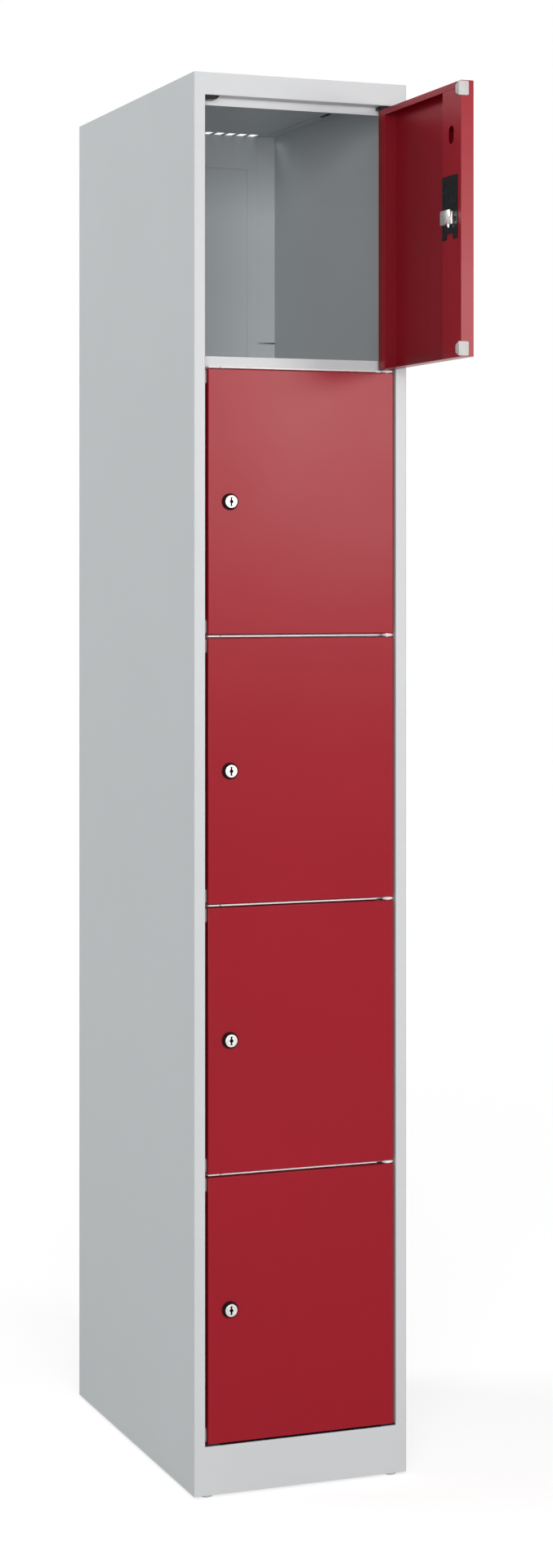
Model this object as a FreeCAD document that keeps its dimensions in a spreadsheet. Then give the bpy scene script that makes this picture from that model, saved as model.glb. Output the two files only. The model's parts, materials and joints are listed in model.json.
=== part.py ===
import FreeCAD, Part
import os
import re

# A free-standing sheet-steel locker with five stacked compartments and lockable doors, in millimetres.
# The origin is at floor level under the middle of the carcass: +X right, +Y to the back, +Z up.
# Pieces of a door are drawn about its hinge axis, at the door's lower edge, and then placed.

DOOR_COUNT = 5
VENT_COUNT = 14

# Turns from upright to level, and of the crank while the lock is open
ALONG_Y = FreeCAD.Rotation(FreeCAD.Vector(1, 0, 0), -90)
CRANK_TURN = FreeCAD.Rotation(FreeCAD.Vector(0, 1, 0), -45)

SIZES = {
    # Carcass, overall
    "carcass_width": 300,
    "carcass_depth": 500,
    "carcass_height": 1850,
    "gauge": 0.8,
    "carcass_bend": 1.6,
    # Frame around the doors
    "stile_face": 15.5,
    "stile_depth": 18,
    "header_height": 29,
    "frame_depth": 21.5,
    "header_stop": 10.2,
    "plinth_height": 63,
    "floor_rise": 22,
    "strip_overlap": 8,
    # Rear corner posts and folds of the side panels
    "post_width": 24.3,
    "post_depth": 15,
    "post_flange": 14.2,
    "top_fold": 16,
    "slit_rise": 57,
    "slit_height": 3,
    "slit_width": 23.5,
    "sheet_clearance": 0.3,
    # Top panel
    "rear_drop": 49,
    "vent_pitch": 17.5,
    "vent_width": 11.8,
    "vent_length": 23,
    "vent_inset": 3.5,
    # Shelves
    "rail_height": 34,
    "rail_rise": 15,
    "shelf_fold": 15,
    # Feet
    "foot_height": 3,
    "foot_radius": 7.5,
    "foot_stud_radius": 3,
    "foot_stud_height": 8,
    "foot_inset": 20,
    "stud_play": 0.1,
    "foot_setback": 9,
    "rear_lip": 25,
    # Gaps around the doors
    "side_gap": 3.8,
    "door_gap": 5,
    "top_gap": 5,
    "bottom_gap": 3,
    # Fittings in the gaps
    "strip_setback": 10,
    "strip_thickness": 2.4,
    "strip_clearance": 0.5,
    "stop_inset": 6.5,
    "stop_length": 17,
    "stop_gap": 1.5,
    "bearing_radius": 8.2,
    "bearing_rim": 6.2,
    "bearing_play": 0.5,
    "bearing_arm": 14.8,
    "insert_length": 20.3,
    "insert_play": 0.45,
    "insert_front": 2.8,
    "insert_land": 0.8,
    # Hinges
    "hinge_inset": 5.9,
    "hinge_setback": 8.3,
    "pin_radius": 3,
    "pin_reach": 12,
    "pin_clearance": 0.05,
    "pin_hole_play": 0.4,
    "block_width": 13,
    "block_height": 14,
    "open_angle": 90,
    # Door pan and lock channel
    "door_depth": 17.5,
    "door_gauge": 0.8,
    "door_bend": 2,
    "door_lip": 8,
    "hinge_return": 20,
    "channel_width": 55.6,
    "channel_seam": 0.3,
    "spare_hole_radius": 7.7,
    "spare_hole_height": 23,
    "spare_hole_rise": 108,
    # Corner buffers
    "buffer_reach": 9.5,
    "buffer_wrap": 10,
    "buffer_edge": 1.5,
    "buffer_height": 18,
    "buffer_end": 1,
    "buffer_chamfer": 4.5,
    "buffer_clearance": 0.4,
    # Lock housing and plug
    "lock_inset": 30,
    "bezel_radius": 11,
    "bezel_height": 6.5,
    "bezel_round": 1.4,
    "barrel_radius": 10,
    "barrel_length": 7.8,
    "barrel_play": 0.1,
    "core_radius": 8,
    "core_clearance": 0.05,
    "core_recess": 0.4,
    "core_end_play": 0.1,
    "keyway_width": 2,
    "keyway_height": 11,
    "keyway_depth": 8,
    "key_post_radius": 2.35,
    "tail_radius": 3.5,
    # Lock case
    "case_edge": 10,
    "case_width": 45,
    "case_height": 80,
    "case_drop": 23.3,
    "case_flange": 1,
    "case_body_drop": 15,
    "case_body_rise": 48,
    "case_wall": 1.3,
    "case_front": 1.2,
    "case_play": 0.2,
    "notch_width": 20,
    "notch_height": 7.3,
    # Crank and bolt
    "bolt_travel": 28,
    "crank_radius": 5.5,
    "crank_plate": 1.5,
    "crank_play": 0.3,
    "crank_arm": 6,
    "crank_pin_radius": 1.6,
    "crank_slot_play": 0.75,
    "slider_plate": 2,
    "slider_web": 1.6,
    "slider_gap": 0.9,
    "slider_play": 0.35,
    "slider_drop": 3,
    "neck_width": 6,
    "neck_height": 6,
    "neck_drop": 2,
    "bolt_play": 0.3,
    "base_start": 10,
    "base_length": 27,
    "base_height": 16,
    "base_plate": 2.6,
    "bolt_drop": 5,
    "hook_start": 10,
    "hook_length": 27.5,
    "hook_height": 18,
    "hook_plate": 3.6,
    "hook_chamfer": 5,
    "tip_radius": 2.2,
    "tip_length": 4,
}

# Places on the carcass, as formulas in the sheet's sizes
HALF = "(carcass_width / 2)"
INNER = f"({HALF} - gauge)"
STILE = f"({HALF} - stile_face)"
FRONT = "(-carcass_depth / 2)"
BACK = "(carcass_depth / 2)"
TOP = "carcass_height"
STOP = f"({FRONT} + frame_depth)"
POST = f"({INNER} - post_width)"
POST_FACE = f"({BACK} - post_depth)"
POST_WALL = "(gauge * sqrt(post_width * post_width + post_depth * post_depth) / post_depth)"
HEADER = f"({TOP} - header_height)"
PLINTH = "(foot_height + plinth_height)"
FLOOR = f"({PLINTH} + floor_rise)"
STRIP_FRONT = f"({FRONT} + strip_setback)"

# Places on a door, measured from its hinge axis and its lower edge
DOOR_WIDTH = "(carcass_width - 2 * stile_face - 2 * side_gap)"
DOOR_HEIGHT = (
    f"(({HEADER} - top_gap - {PLINTH} - bottom_gap - {DOOR_COUNT - 1} * door_gap) / {DOOR_COUNT})"
)
HINGE_X = f"({STILE} - side_gap - hinge_inset)"
HINGE_Y = f"({FRONT} + hinge_setback)"
BEARING_ARM = f"({HINGE_X} - bearing_arm)"
FREE_EDGE = f"(hinge_inset - {DOOR_WIDTH})"
HINGE_EDGE = "hinge_inset"
FACE = "(-hinge_setback)"
REAR = "(door_depth - hinge_setback)"
LOCK_X = f"({FREE_EDGE} + lock_inset)"
LOCK_Z = f"({DOOR_HEIGHT} / 2)"
BARREL_END = f"({FACE} + barrel_length)"
CAVITY_FRONT = f"({BARREL_END} + case_front)"
CAVITY_REAR = f"({REAR} - case_wall)"
SLIDER_REAR = f"({CAVITY_REAR} - bolt_play)"
SLIDER_FRONT = f"({SLIDER_REAR} - slider_plate)"
CRANK_REAR = f"({SLIDER_FRONT} - slider_gap)"
CRANK_X = f"({LOCK_X} + bolt_travel / 2)"
CRANK_Z = f"({LOCK_Z} + bolt_travel / 2)"
THROW = "(bolt_travel / sqrt(2))"
HALF_SLOT = "(crank_pin_radius + crank_slot_play)"
HALF_SLIDER = f"({HALF_SLOT} + slider_web)"
HALF_CAVITY = f"(bolt_travel / 2 + {HALF_SLIDER} + slider_play)"
HALF_CASE = f"({HALF_CAVITY} + case_wall)"
NECK = f"({CRANK_X} - neck_width / 2)"
BASE_FRONT = f"({REAR} + case_flange + bolt_play)"
HOOK_FRONT = f"({BASE_FRONT} + base_plate)"
HOOK_REAR = f"({HOOK_FRONT} + hook_plate)"

doc = FreeCAD.newDocument("Locker")
sheet = doc.addObject("Spreadsheet::Sheet", "Sizes")
for row, (alias, value) in enumerate(SIZES.items(), 1):
    sheet.set(f"A{row}", alias)
    sheet.set(f"B{row}", str(value))
    sheet.setAlias(f"B{row}", alias)
doc.recompute()

sub_parts = []


def bound(formula):
    """The formula with every size read from the sheet."""
    return re.sub(r"[a-z_]+", lambda word: f"Sizes.{word[0]}" if word[0] in SIZES else word[0], formula)


def plate(x, y, z):
    """A box between two places along each axis."""
    box = doc.addObject("Part::Box", "Plate")
    for axis, side, (low, high) in zip("xyz", ("Length", "Width", "Height"), (x, y, z)):
        box.setExpression(f"Placement.Base.{axis}", bound(low))
        box.setExpression(side, bound(f"({high}) - ({low})"))
    return box


def slanted_plate(x_front, x_rear, y, z):
    """A body between two places in y and z, whose sides lean from the front pair in x to the rear pair."""
    body = doc.addObject("Part::Wedge", "Slanted")
    limits = {"X": x_front, "Y": y, "Z": z, "X2": x_rear, "Z2": z}
    for name, (low, high) in limits.items():
        body.setExpression(f"{name}min", bound(low))
        body.setExpression(f"{name}max", bound(high))
    return body


def set_base(solid, x, y, z):
    for axis, place in zip("xyz", (x, y, z)):
        solid.setExpression(f"Placement.Base.{axis}", bound(place))


def upright_rod(radius, x, y, z):
    """A cylinder along Z between the two places in z."""
    rod = doc.addObject("Part::Cylinder", "Rod")
    rod.setExpression("Radius", bound(radius))
    rod.setExpression("Height", bound(f"({z[1]}) - ({z[0]})"))
    set_base(rod, x, y, z[0])
    return rod


def level_rod(radius, x, y, z):
    """A cylinder along Y between the two places in y."""
    rod = doc.addObject("Part::Cylinder", "Rod")
    rod.Placement.Rotation = ALONG_Y
    rod.setExpression("Radius", bound(radius))
    rod.setExpression("Height", bound(f"({y[1]}) - ({y[0]})"))
    set_base(rod, x, y[0], z)
    return rod


def cone(lower_radius, upper_radius, x, y, z):
    body = doc.addObject("Part::Cone", "Cone")
    body.setExpression("Radius1", bound(lower_radius))
    body.setExpression("Radius2", bound(upper_radius))
    body.setExpression("Height", bound(f"({z[1]}) - ({z[0]})"))
    set_base(body, x, y, z[0])
    return body


def fuse(*pieces):
    joined = doc.addObject("Part::MultiFuse", "Joined")
    joined.Shapes = list(pieces)
    joined.Refine = True
    return joined


def cut(base, *tools):
    result = doc.addObject("Part::Cut", "Trimmed")
    result.Base = base
    result.Tool = fuse(*tools) if len(tools) > 1 else tools[0]
    result.Refine = True
    return result


def size(formula):
    """The number that a formula gives now."""
    return float(sheet.evalExpression(bound(formula)))


def near(value, formula):
    return abs(value - size(formula)) < 1e-6


def dress(kind, base, picks):
    """Rounds or chamfers the edges of base: picks holds pairs of an edge test and a size formula."""
    doc.recompute()
    dressed = doc.addObject(kind, "Dressed")
    dressed.Base = base
    edges = []
    for number, edge in enumerate(base.Shape.Edges, 1):
        for test, amount in picks:
            if test(edge.BoundBox):
                edges.append((number, size(amount), size(amount)))
    if not edges:
        raise RuntimeError(f"no edge to dress on {base.Label}")
    dressed.Edges = edges
    return dressed


def group(pieces):
    together = doc.addObject("Part::Compound", "Group")
    together.Links = pieces
    return together


def sub_part(name, solid):
    solid.Label = name
    sub_parts.append(solid)
    return solid


def mirrored(side, low, high):
    """The two places low and high on the right half, or their mirror on the left half."""
    return (low, high) if side > 0 else (f"-({high})", f"-({low})")


def both_sides(half):
    return (f"-({half})", half)


def door_bottom(number):
    """The lower edge of a door. Door 1 is the top one."""
    return f"({PLINTH} + bottom_gap + {DOOR_COUNT - number} * ({DOOR_HEIGHT} + door_gap))"


def gap_middle(number):
    """The middle of the gap under a door."""
    return f"({door_bottom(number)} - door_gap / 2)"


def shelf_top(number):
    return f"({gap_middle(number)} + rail_rise)"


# Carcass

def side_panel(name, side):
    def across(low, high):
        return mirrored(side, low, high)

    full = ("foot_height", TOP)
    under_top = ("foot_height", f"{TOP} - gauge")
    post = ("foot_height + gauge", f"{TOP} - gauge")
    wall = plate(across(INNER, HALF), (FRONT, f"{BACK} - gauge"), full)
    stile_front = plate(across(STILE, INNER), (FRONT, f"{FRONT} + gauge"), full)
    stile_return = plate(
        across(STILE, f"{STILE} + gauge"), (f"{FRONT} + gauge", f"{FRONT} + stile_depth"), under_top
    )
    stile_rear = plate(
        across(f"{STILE} + gauge", INNER),
        (f"{FRONT} + stile_depth - gauge", f"{FRONT} + stile_depth"),
        under_top,
    )
    near_wall = across(f"{INNER} - {POST_WALL}", INNER)
    post_bend = plate(near_wall, (POST_FACE, f"{POST_FACE} + gauge"), post)
    post_front = slanted_plate(
        near_wall, across(POST, f"{POST} + {POST_WALL}"), (POST_FACE, f"{BACK} - gauge"), post
    )
    post_edge = plate(
        across(f"{POST} - post_flange", f"{POST} + {POST_WALL}"),
        (f"{BACK} - 2 * gauge", f"{BACK} - gauge"),
        post,
    )
    fold = plate(
        across(f"{HALF} - top_fold", INNER),
        (f"{STOP} + gauge", POST_FACE),
        (f"{TOP} - 2 * gauge", f"{TOP} - gauge"),
    )
    folded = fuse(wall, stile_front, stile_return, stile_rear, post_bend, post_front, post_edge, fold)
    slits = []
    for floor in [FLOOR] + [shelf_top(number) for number in range(1, DOOR_COUNT)]:
        slits.append(
            plate(
                across(f"{INNER} - slit_width", INNER),
                (POST_FACE, f"{BACK} - 2 * gauge"),
                (f"{floor} + slit_rise", f"{floor} + slit_rise + slit_height"),
            )
        )
    slotted = cut(folded, *slits)

    def is_corner(box, place):
        upright = box.ZLength > size(TOP) / 2
        return upright and near(box.XMin, place) and near(box.XMax, place) and near(box.YMax, FRONT)

    rounded = dress(
        "Part::Fillet",
        slotted,
        [
            (lambda box: is_corner(box, HALF if side > 0 else f"-{HALF}"), "carcass_bend"),
            (lambda box: is_corner(box, STILE if side > 0 else f"-{STILE}"), "carcass_bend"),
        ],
    )
    return sub_part(name, rounded)


def back_panel():
    sheet_plate = plate(both_sides(HALF), (f"{BACK} - gauge", BACK), ("foot_height", TOP))
    lip = plate(
        both_sides(INNER), (f"{BACK} - rear_lip", f"{BACK} - gauge"), ("foot_height", "foot_height + gauge")
    )
    return sub_part("back_panel", cut(fuse(sheet_plate, lip), *stud_holes(rear=True)))


def foot_places(rear):
    y = f"({BACK} - foot_setback)" if rear else f"({FRONT} + foot_setback)"
    x = f"({HALF} - foot_inset)"
    return [(f"-{x}", y), (x, y)]


def stud_holes(rear):
    height = ("foot_height", "foot_height + gauge")
    return [upright_rod("(foot_stud_radius + stud_play)", x, y, height) for x, y in foot_places(rear)]


def top_panel():
    lid = plate(both_sides(INNER), (f"{FRONT} + gauge", f"{BACK} - gauge"), (f"{TOP} - gauge", TOP))
    fascia = plate(both_sides(STILE), (FRONT, f"{FRONT} + gauge"), (HEADER, TOP))
    underside = plate(both_sides(STILE), (f"{FRONT} + gauge", STOP), (HEADER, f"{HEADER} + gauge"))
    stop = plate(both_sides(INNER), (STOP, f"{STOP} + gauge"), (f"{HEADER} - header_stop", f"{TOP} - gauge"))
    flange = plate(
        both_sides(f"({POST} - sheet_clearance)"),
        (f"{BACK} - 3 * gauge", f"{BACK} - 2 * gauge"),
        (f"{TOP} - rear_drop", f"{TOP} - gauge"),
    )
    vents = []
    for count in range(VENT_COUNT):
        middle = f"({count - (VENT_COUNT - 1) / 2} * vent_pitch)"
        vents.append(
            plate(
                (f"{middle} - vent_width / 2", f"{middle} + vent_width / 2"),
                (f"{BACK} - vent_inset - vent_length", f"{BACK} - vent_inset"),
                (f"{TOP} - gauge", TOP),
            )
        )
    vented = cut(fuse(lid, fascia, underside, stop, flange), *vents)

    def is_lower_edge(box):
        low = near(box.ZMin, HEADER) and near(box.ZMax, HEADER)
        return low and near(box.YMax, FRONT) and box.XLength > size(STILE)

    return sub_part("top_panel", dress("Part::Fillet", vented, [(is_lower_edge, "carcass_bend")]))


def floor_sheet(name, top, strip_bottom):
    """A compartment floor: sheet, stop strip behind the doors, side folds and a tongue between the posts."""
    sheet_plate = plate(both_sides(INNER), (f"{STOP} + gauge", POST_FACE), (f"{top} - gauge", top))
    tongue = slanted_plate(
        both_sides(f"({INNER} - {POST_WALL} - sheet_clearance)"),
        both_sides(f"({POST} - sheet_clearance)"),
        (POST_FACE, f"{BACK} - 2 * gauge"),
        (f"{top} - gauge", top),
    )
    strip = plate(both_sides(INNER), (STOP, f"{STOP} + gauge"), (strip_bottom, top))
    rear_fold = plate(
        both_sides(f"({POST} - post_flange - sheet_clearance)"),
        (f"{BACK} - 3 * gauge", f"{BACK} - 2 * gauge"),
        (f"{top} - shelf_fold", f"{top} - gauge"),
    )
    folds = [
        plate(
            mirrored(side, f"{INNER} - gauge", INNER),
            (f"{STOP} + gauge", POST_FACE),
            (f"{top} - shelf_fold", f"{top} - gauge"),
        )
        for side in (-1, 1)
    ]
    return sub_part(name, fuse(sheet_plate, tongue, strip, rear_fold, *folds))


def plinth_panel():
    kick = plate(both_sides(STILE), (FRONT, f"{FRONT} + gauge"), ("foot_height", PLINTH))
    inside = (f"{FRONT} + gauge", STOP)
    ledge = plate(both_sides(STILE), inside, (f"{PLINTH} - gauge", PLINTH))
    lip = plate(both_sides(STILE), inside, ("foot_height", "foot_height + gauge"))
    folded = cut(fuse(kick, ledge, lip), *stud_holes(rear=False))

    def is_upper_edge(box):
        high = near(box.ZMin, PLINTH) and near(box.ZMax, PLINTH)
        return high and near(box.YMax, FRONT) and box.XLength > size(STILE)

    return sub_part("plinth_panel", dress("Part::Fillet", folded, [(is_upper_edge, "carcass_bend")]))


def feet():
    glides = []
    for x, y in foot_places(rear=False) + foot_places(rear=True):
        pad = upright_rod("foot_radius", x, y, ("0", "foot_height"))
        stud = upright_rod("foot_stud_radius", x, y, ("foot_height", "foot_height + foot_stud_height"))
        glides.append(fuse(pad, stud))
    return sub_part("feet", group(glides))


# Fittings in the gaps between the doors

def gap_strips():
    pieces = []
    for number in range(1, DOOR_COUNT):
        middle = gap_middle(number)
        depth = (STRIP_FRONT, STOP)
        height = (f"{middle} - strip_thickness / 2", f"{middle} + strip_thickness / 2")
        stop_left = f"(stop_inset - {STILE})"
        stop_right = f"({stop_left} + stop_length)"
        pieces.append(plate((f"{stop_right} + stop_gap", f"{BEARING_ARM} - strip_clearance"), depth, height))
        pieces.append(plate((stop_left, stop_right), depth, height))
    return sub_part("gap_strips", group(pieces))


def hinge_bearings():
    pieces = []
    for number in range(1, DOOR_COUNT):
        middle = gap_middle(number)
        half = "(door_gap / 2 - bearing_play)"
        upper = cone("bearing_radius", "bearing_rim", HINGE_X, HINGE_Y, (middle, f"{middle} + {half}"))
        lower = cone("bearing_rim", "bearing_radius", HINGE_X, HINGE_Y, (f"{middle} - {half}", middle))
        arm = plate(
            (BEARING_ARM, HINGE_X),
            (HINGE_Y, STOP),
            (f"{middle} - strip_thickness / 2", f"{middle} + strip_thickness / 2"),
        )
        bore = upright_rod("pin_radius", HINGE_X, HINGE_Y, (f"{middle} - {half}", f"{middle} + {half}"))
        pieces.append(cut(fuse(upper, lower, arm), bore))
    return sub_part("hinge_bearings", group(pieces))


def frame_inserts():
    """Corner inserts with slanted inner ends. The right ones carry the end pins."""
    header = (f"({HEADER} - top_gap + insert_play)", HEADER)
    plinth = (PLINTH, f"({PLINTH} + bottom_gap - insert_play)")
    inner_end = f"({STILE} - insert_length)"
    pieces = []
    front = f"({FRONT} + insert_front)"
    for side in (-1, 1):
        for height, free in ((header, header[0]), (plinth, plinth[1])):
            block = plate(mirrored(side, inner_end, STILE), (front, STOP), height)
            end = inner_end if side > 0 else f"-{inner_end}"

            def is_free_end(box):
                level = near(box.ZMin, free) and near(box.ZMax, free)
                return level and near(box.XMin, end) and near(box.XMax, end)

            slant = f"{height[1]} - {height[0]} - insert_land"
            slanted = dress("Part::Chamfer", block, [(is_free_end, slant)])
            if side > 0:
                slanted = cut(slanted, upright_rod("pin_radius", HINGE_X, HINGE_Y, height))
            pieces.append(slanted)
    return sub_part("frame_inserts", group(pieces))


def hinge_pins():
    spans = [(f"{HEADER} - top_gap - pin_reach", HEADER)]
    for number in range(1, DOOR_COUNT):
        reach = "(door_gap / 2 + pin_reach)"
        spans.append((f"{gap_middle(number)} - {reach}", f"{gap_middle(number)} + {reach}"))
    spans.append((PLINTH, f"{PLINTH} + bottom_gap + pin_reach"))
    pins = [upright_rod("pin_radius", HINGE_X, HINGE_Y, span) for span in spans]
    return sub_part("hinge_pins", group(pins))


# Doors and locks, drawn closed about the hinge axis

def hang(number, name, solid):
    """Places a piece of a door on its hinge. The top door stands open."""
    set_base(solid, HINGE_X, HINGE_Y, door_bottom(number))
    if number == 1:
        solid.Placement.Rotation = FreeCAD.Rotation(FreeCAD.Vector(0, 0, 1), 1)
        solid.setExpression("Placement.Rotation.Angle", bound("open_angle"))
    return sub_part(name, solid)


def door_pan():
    height = ("0", DOOR_HEIGHT)
    block = plate((FREE_EDGE, HINGE_EDGE), (FACE, REAR), height)
    hollow = plate(
        (f"{FREE_EDGE} + door_gauge", f"{HINGE_EDGE} - door_gauge"),
        (f"{FACE} + door_gauge", REAR),
        ("door_gauge", f"{DOOR_HEIGHT} - door_gauge"),
    )
    skin = f"({FACE} + door_gauge)"
    shell = dress(
        "Part::Fillet",
        cut(block, hollow),
        [
            (lambda box: near(box.YMin, FACE) and near(box.YMax, FACE), "door_bend"),
            (lambda box: near(box.YMin, skin) and near(box.YMax, skin), "(door_bend - door_gauge)"),
        ],
    )
    inside = (f"{FREE_EDGE} + door_gauge", f"{HINGE_EDGE} - door_gauge")
    rear = (f"{REAR} - door_gauge", REAR)
    lower_lip = plate(inside, rear, ("door_gauge", "door_lip"))
    upper_lip = plate(inside, rear, (f"{DOOR_HEIGHT} - door_lip", f"{DOOR_HEIGHT} - door_gauge"))
    side_return = plate(
        (f"{HINGE_EDGE} - hinge_return", f"{HINGE_EDGE} - door_gauge"),
        rear,
        ("door_lip", f"{DOOR_HEIGHT} - door_lip"),
    )
    lock_hole = level_rod("(barrel_radius + barrel_play)", LOCK_X, (FACE, skin), LOCK_Z)
    hole = "(pin_radius + pin_hole_play)"
    lower_hole = upright_rod(hole, "0", "0", ("0", "door_gauge"))
    upper_hole = upright_rod(hole, "0", "0", (f"{DOOR_HEIGHT} - door_gauge", DOOR_HEIGHT))
    return cut(fuse(shell, lower_lip, upper_lip, side_return), lock_hole, lower_hole, upper_hole)


def lock_channel():
    height = ("door_lip + channel_seam", f"{DOOR_HEIGHT} - door_lip - channel_seam")
    edge = f"({FREE_EDGE} + channel_width)"
    face = plate((f"{FREE_EDGE} + door_gauge", edge), (f"{REAR} - door_gauge", REAR), height)
    wall = plate((f"{edge} - door_gauge", edge), (f"{FACE} + door_gauge", f"{REAR} - door_gauge"), height)
    rear = (f"{REAR} - door_gauge", REAR)
    half = f"({HALF_CASE} + case_play)"
    window = plate(
        (f"{LOCK_X} - {half}", f"{LOCK_X} + {half}"),
        rear,
        (f"{LOCK_Z} - case_body_drop - case_play", f"{LOCK_Z} + case_body_rise + case_play"),
    )
    hole_middle = f"({LOCK_Z} + spare_hole_rise)"
    reach = "(spare_hole_height / 2 - spare_hole_radius)"
    hole_low, hole_high = f"({hole_middle} - {reach})", f"({hole_middle} + {reach})"
    spare_hole = [
        level_rod("spare_hole_radius", LOCK_X, rear, hole_low),
        level_rod("spare_hole_radius", LOCK_X, rear, hole_high),
        plate(
            (f"{LOCK_X} - spare_hole_radius", f"{LOCK_X} + spare_hole_radius"), rear, (hole_low, hole_high)
        ),
    ]
    return cut(fuse(face, wall), window, *spare_hole)


def lock_case():
    low = f"({LOCK_Z} - case_drop)"
    left = f"({FREE_EDGE} + case_edge)"
    depth = (REAR, f"{REAR} + case_flange")
    flange = plate((left, f"{left} + case_width"), depth, (low, f"{low} + case_height"))
    body = plate(
        (f"{LOCK_X} - {HALF_CASE}", f"{LOCK_X} + {HALF_CASE}"),
        (BARREL_END, REAR),
        (f"{LOCK_Z} - case_body_drop", f"{LOCK_Z} + case_body_rise"),
    )
    cavity = plate(
        (f"{LOCK_X} - {HALF_CAVITY}", f"{LOCK_X} + {HALF_CAVITY}"),
        (CAVITY_FRONT, CAVITY_REAR),
        (f"{LOCK_Z} - case_body_drop + case_wall", f"{LOCK_Z} + case_body_rise - case_wall"),
    )
    middle = f"({left} + case_width / 2)"
    notch = plate(
        (f"{middle} - notch_width / 2", f"{middle} + notch_width / 2"), depth, (low, f"{low} + notch_height")
    )
    tail_bore = level_rod("(tail_radius + core_end_play)", LOCK_X, (BARREL_END, CAVITY_FRONT), LOCK_Z)
    slot = plate(
        (f"{NECK} - bolt_travel - bolt_play", f"{NECK} + neck_width + bolt_play"),
        (CAVITY_REAR, f"{REAR} + case_flange"),
        (f"{LOCK_Z} - neck_drop - bolt_play", f"{LOCK_Z} - neck_drop + neck_height + bolt_play"),
    )
    return cut(fuse(flange, body), cavity, notch, tail_bore, slot)


def lock_housing():
    bezel = level_rod("bezel_radius", LOCK_X, (f"{FACE} - bezel_height", FACE), LOCK_Z)
    bezel_front = f"({FACE} - bezel_height)"
    rounded = dress(
        "Part::Fillet",
        bezel,
        [(lambda box: near(box.YMin, bezel_front) and near(box.YMax, bezel_front), "bezel_round")],
    )
    barrel = level_rod("barrel_radius", LOCK_X, (FACE, BARREL_END), LOCK_Z)
    bore = level_rod("(core_radius + core_clearance)", LOCK_X, (bezel_front, BARREL_END), LOCK_Z)
    return cut(fuse(rounded, barrel), bore)


def buffers():
    thickness = "(frame_depth - door_depth - buffer_clearance)"
    ends = [
        ("buffer_end", "buffer_end + buffer_height"),
        (f"{DOOR_HEIGHT} - buffer_end - buffer_height", f"{DOOR_HEIGHT} - buffer_end"),
    ]
    inner_end = f"({FREE_EDGE} + buffer_reach)"
    pieces = []
    for height in ends:
        pad = plate((FREE_EDGE, inner_end), (REAR, f"{REAR} + {thickness}"), height)

        def is_inner_corner(box):
            at_end = near(box.XMin, inner_end) and near(box.XMax, inner_end)
            return at_end and near(box.ZLength, "0")

        shaped = dress("Part::Chamfer", pad, [(is_inner_corner, "buffer_chamfer")])
        wrap = plate(
            (f"{FREE_EDGE} - buffer_edge", FREE_EDGE),
            (f"{REAR} - buffer_wrap", f"{REAR} + {thickness}"),
            height,
        )
        pieces.append(fuse(shaped, wrap))
    return group(pieces)


def pivot_blocks():
    across = (f"{HINGE_EDGE} - door_gauge - block_width", f"{HINGE_EDGE} - door_gauge")
    depth = (f"{FACE} + door_bend", f"{REAR} - door_gauge")
    lower = ("door_gauge", "door_gauge + block_height")
    upper = (f"{DOOR_HEIGHT} - door_gauge - block_height", f"{DOOR_HEIGHT} - door_gauge")
    bore_depth = "(pin_reach + pin_hole_play)"
    lower_bore = ("door_gauge", bore_depth)
    upper_bore = (f"{DOOR_HEIGHT} - {bore_depth}", f"{DOOR_HEIGHT} - door_gauge")
    pieces = []
    for height, span in ((lower, lower_bore), (upper, upper_bore)):
        bore = upright_rod("(pin_radius + pin_clearance)", "0", "0", span)
        pieces.append(cut(plate(across, depth, height), bore))
    return group(pieces)


def lock_core():
    front = f"({FACE} - bezel_height + core_recess)"
    rear = f"({BARREL_END} - core_end_play)"
    plug = level_rod("core_radius", LOCK_X, (front, rear), LOCK_Z)
    tail = level_rod("tail_radius", LOCK_X, (rear, CRANK_REAR), LOCK_Z)
    keyway = plate(
        (f"{LOCK_X} - keyway_width / 2", f"{LOCK_X} + keyway_width / 2"),
        (front, f"{front} + keyway_depth"),
        (f"{LOCK_Z} - keyway_height / 2", f"{LOCK_Z} + keyway_height / 2"),
    )
    post_hole = level_rod("key_post_radius", LOCK_X, (front, f"{front} + keyway_depth"), LOCK_Z)
    return cut(fuse(plug, tail), keyway, post_hole)


def lock_crank():
    """A hub on the tail with an arm and a pin, which stands at 45 degrees while the lock is open."""
    arm_front = f"({CRANK_REAR} - crank_plate)"
    hub = level_rod("crank_radius", LOCK_X, (f"{CAVITY_FRONT} + crank_play", CRANK_REAR), LOCK_Z)
    arm = doc.addObject("Part::Box", "Arm")
    arm.Placement.Rotation = CRANK_TURN
    arm.setExpression("Length", bound(THROW))
    arm.setExpression("Width", bound("crank_plate"))
    arm.setExpression("Height", bound("crank_arm"))
    offset = "(crank_arm / 2 / sqrt(2))"
    set_base(arm, f"{LOCK_X} + {offset}", arm_front, f"{LOCK_Z} - {offset}")
    boss = level_rod("(crank_arm / 2)", CRANK_X, (arm_front, CRANK_REAR), CRANK_Z)
    pin = level_rod("crank_pin_radius", CRANK_X, (CRANK_REAR, f"{SLIDER_REAR} - crank_play"), CRANK_Z)
    bore = level_rod("tail_radius", LOCK_X, (f"{CAVITY_FRONT} + crank_play", CRANK_REAR), LOCK_Z)
    return cut(fuse(hub, arm, boss, pin), bore)


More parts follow.
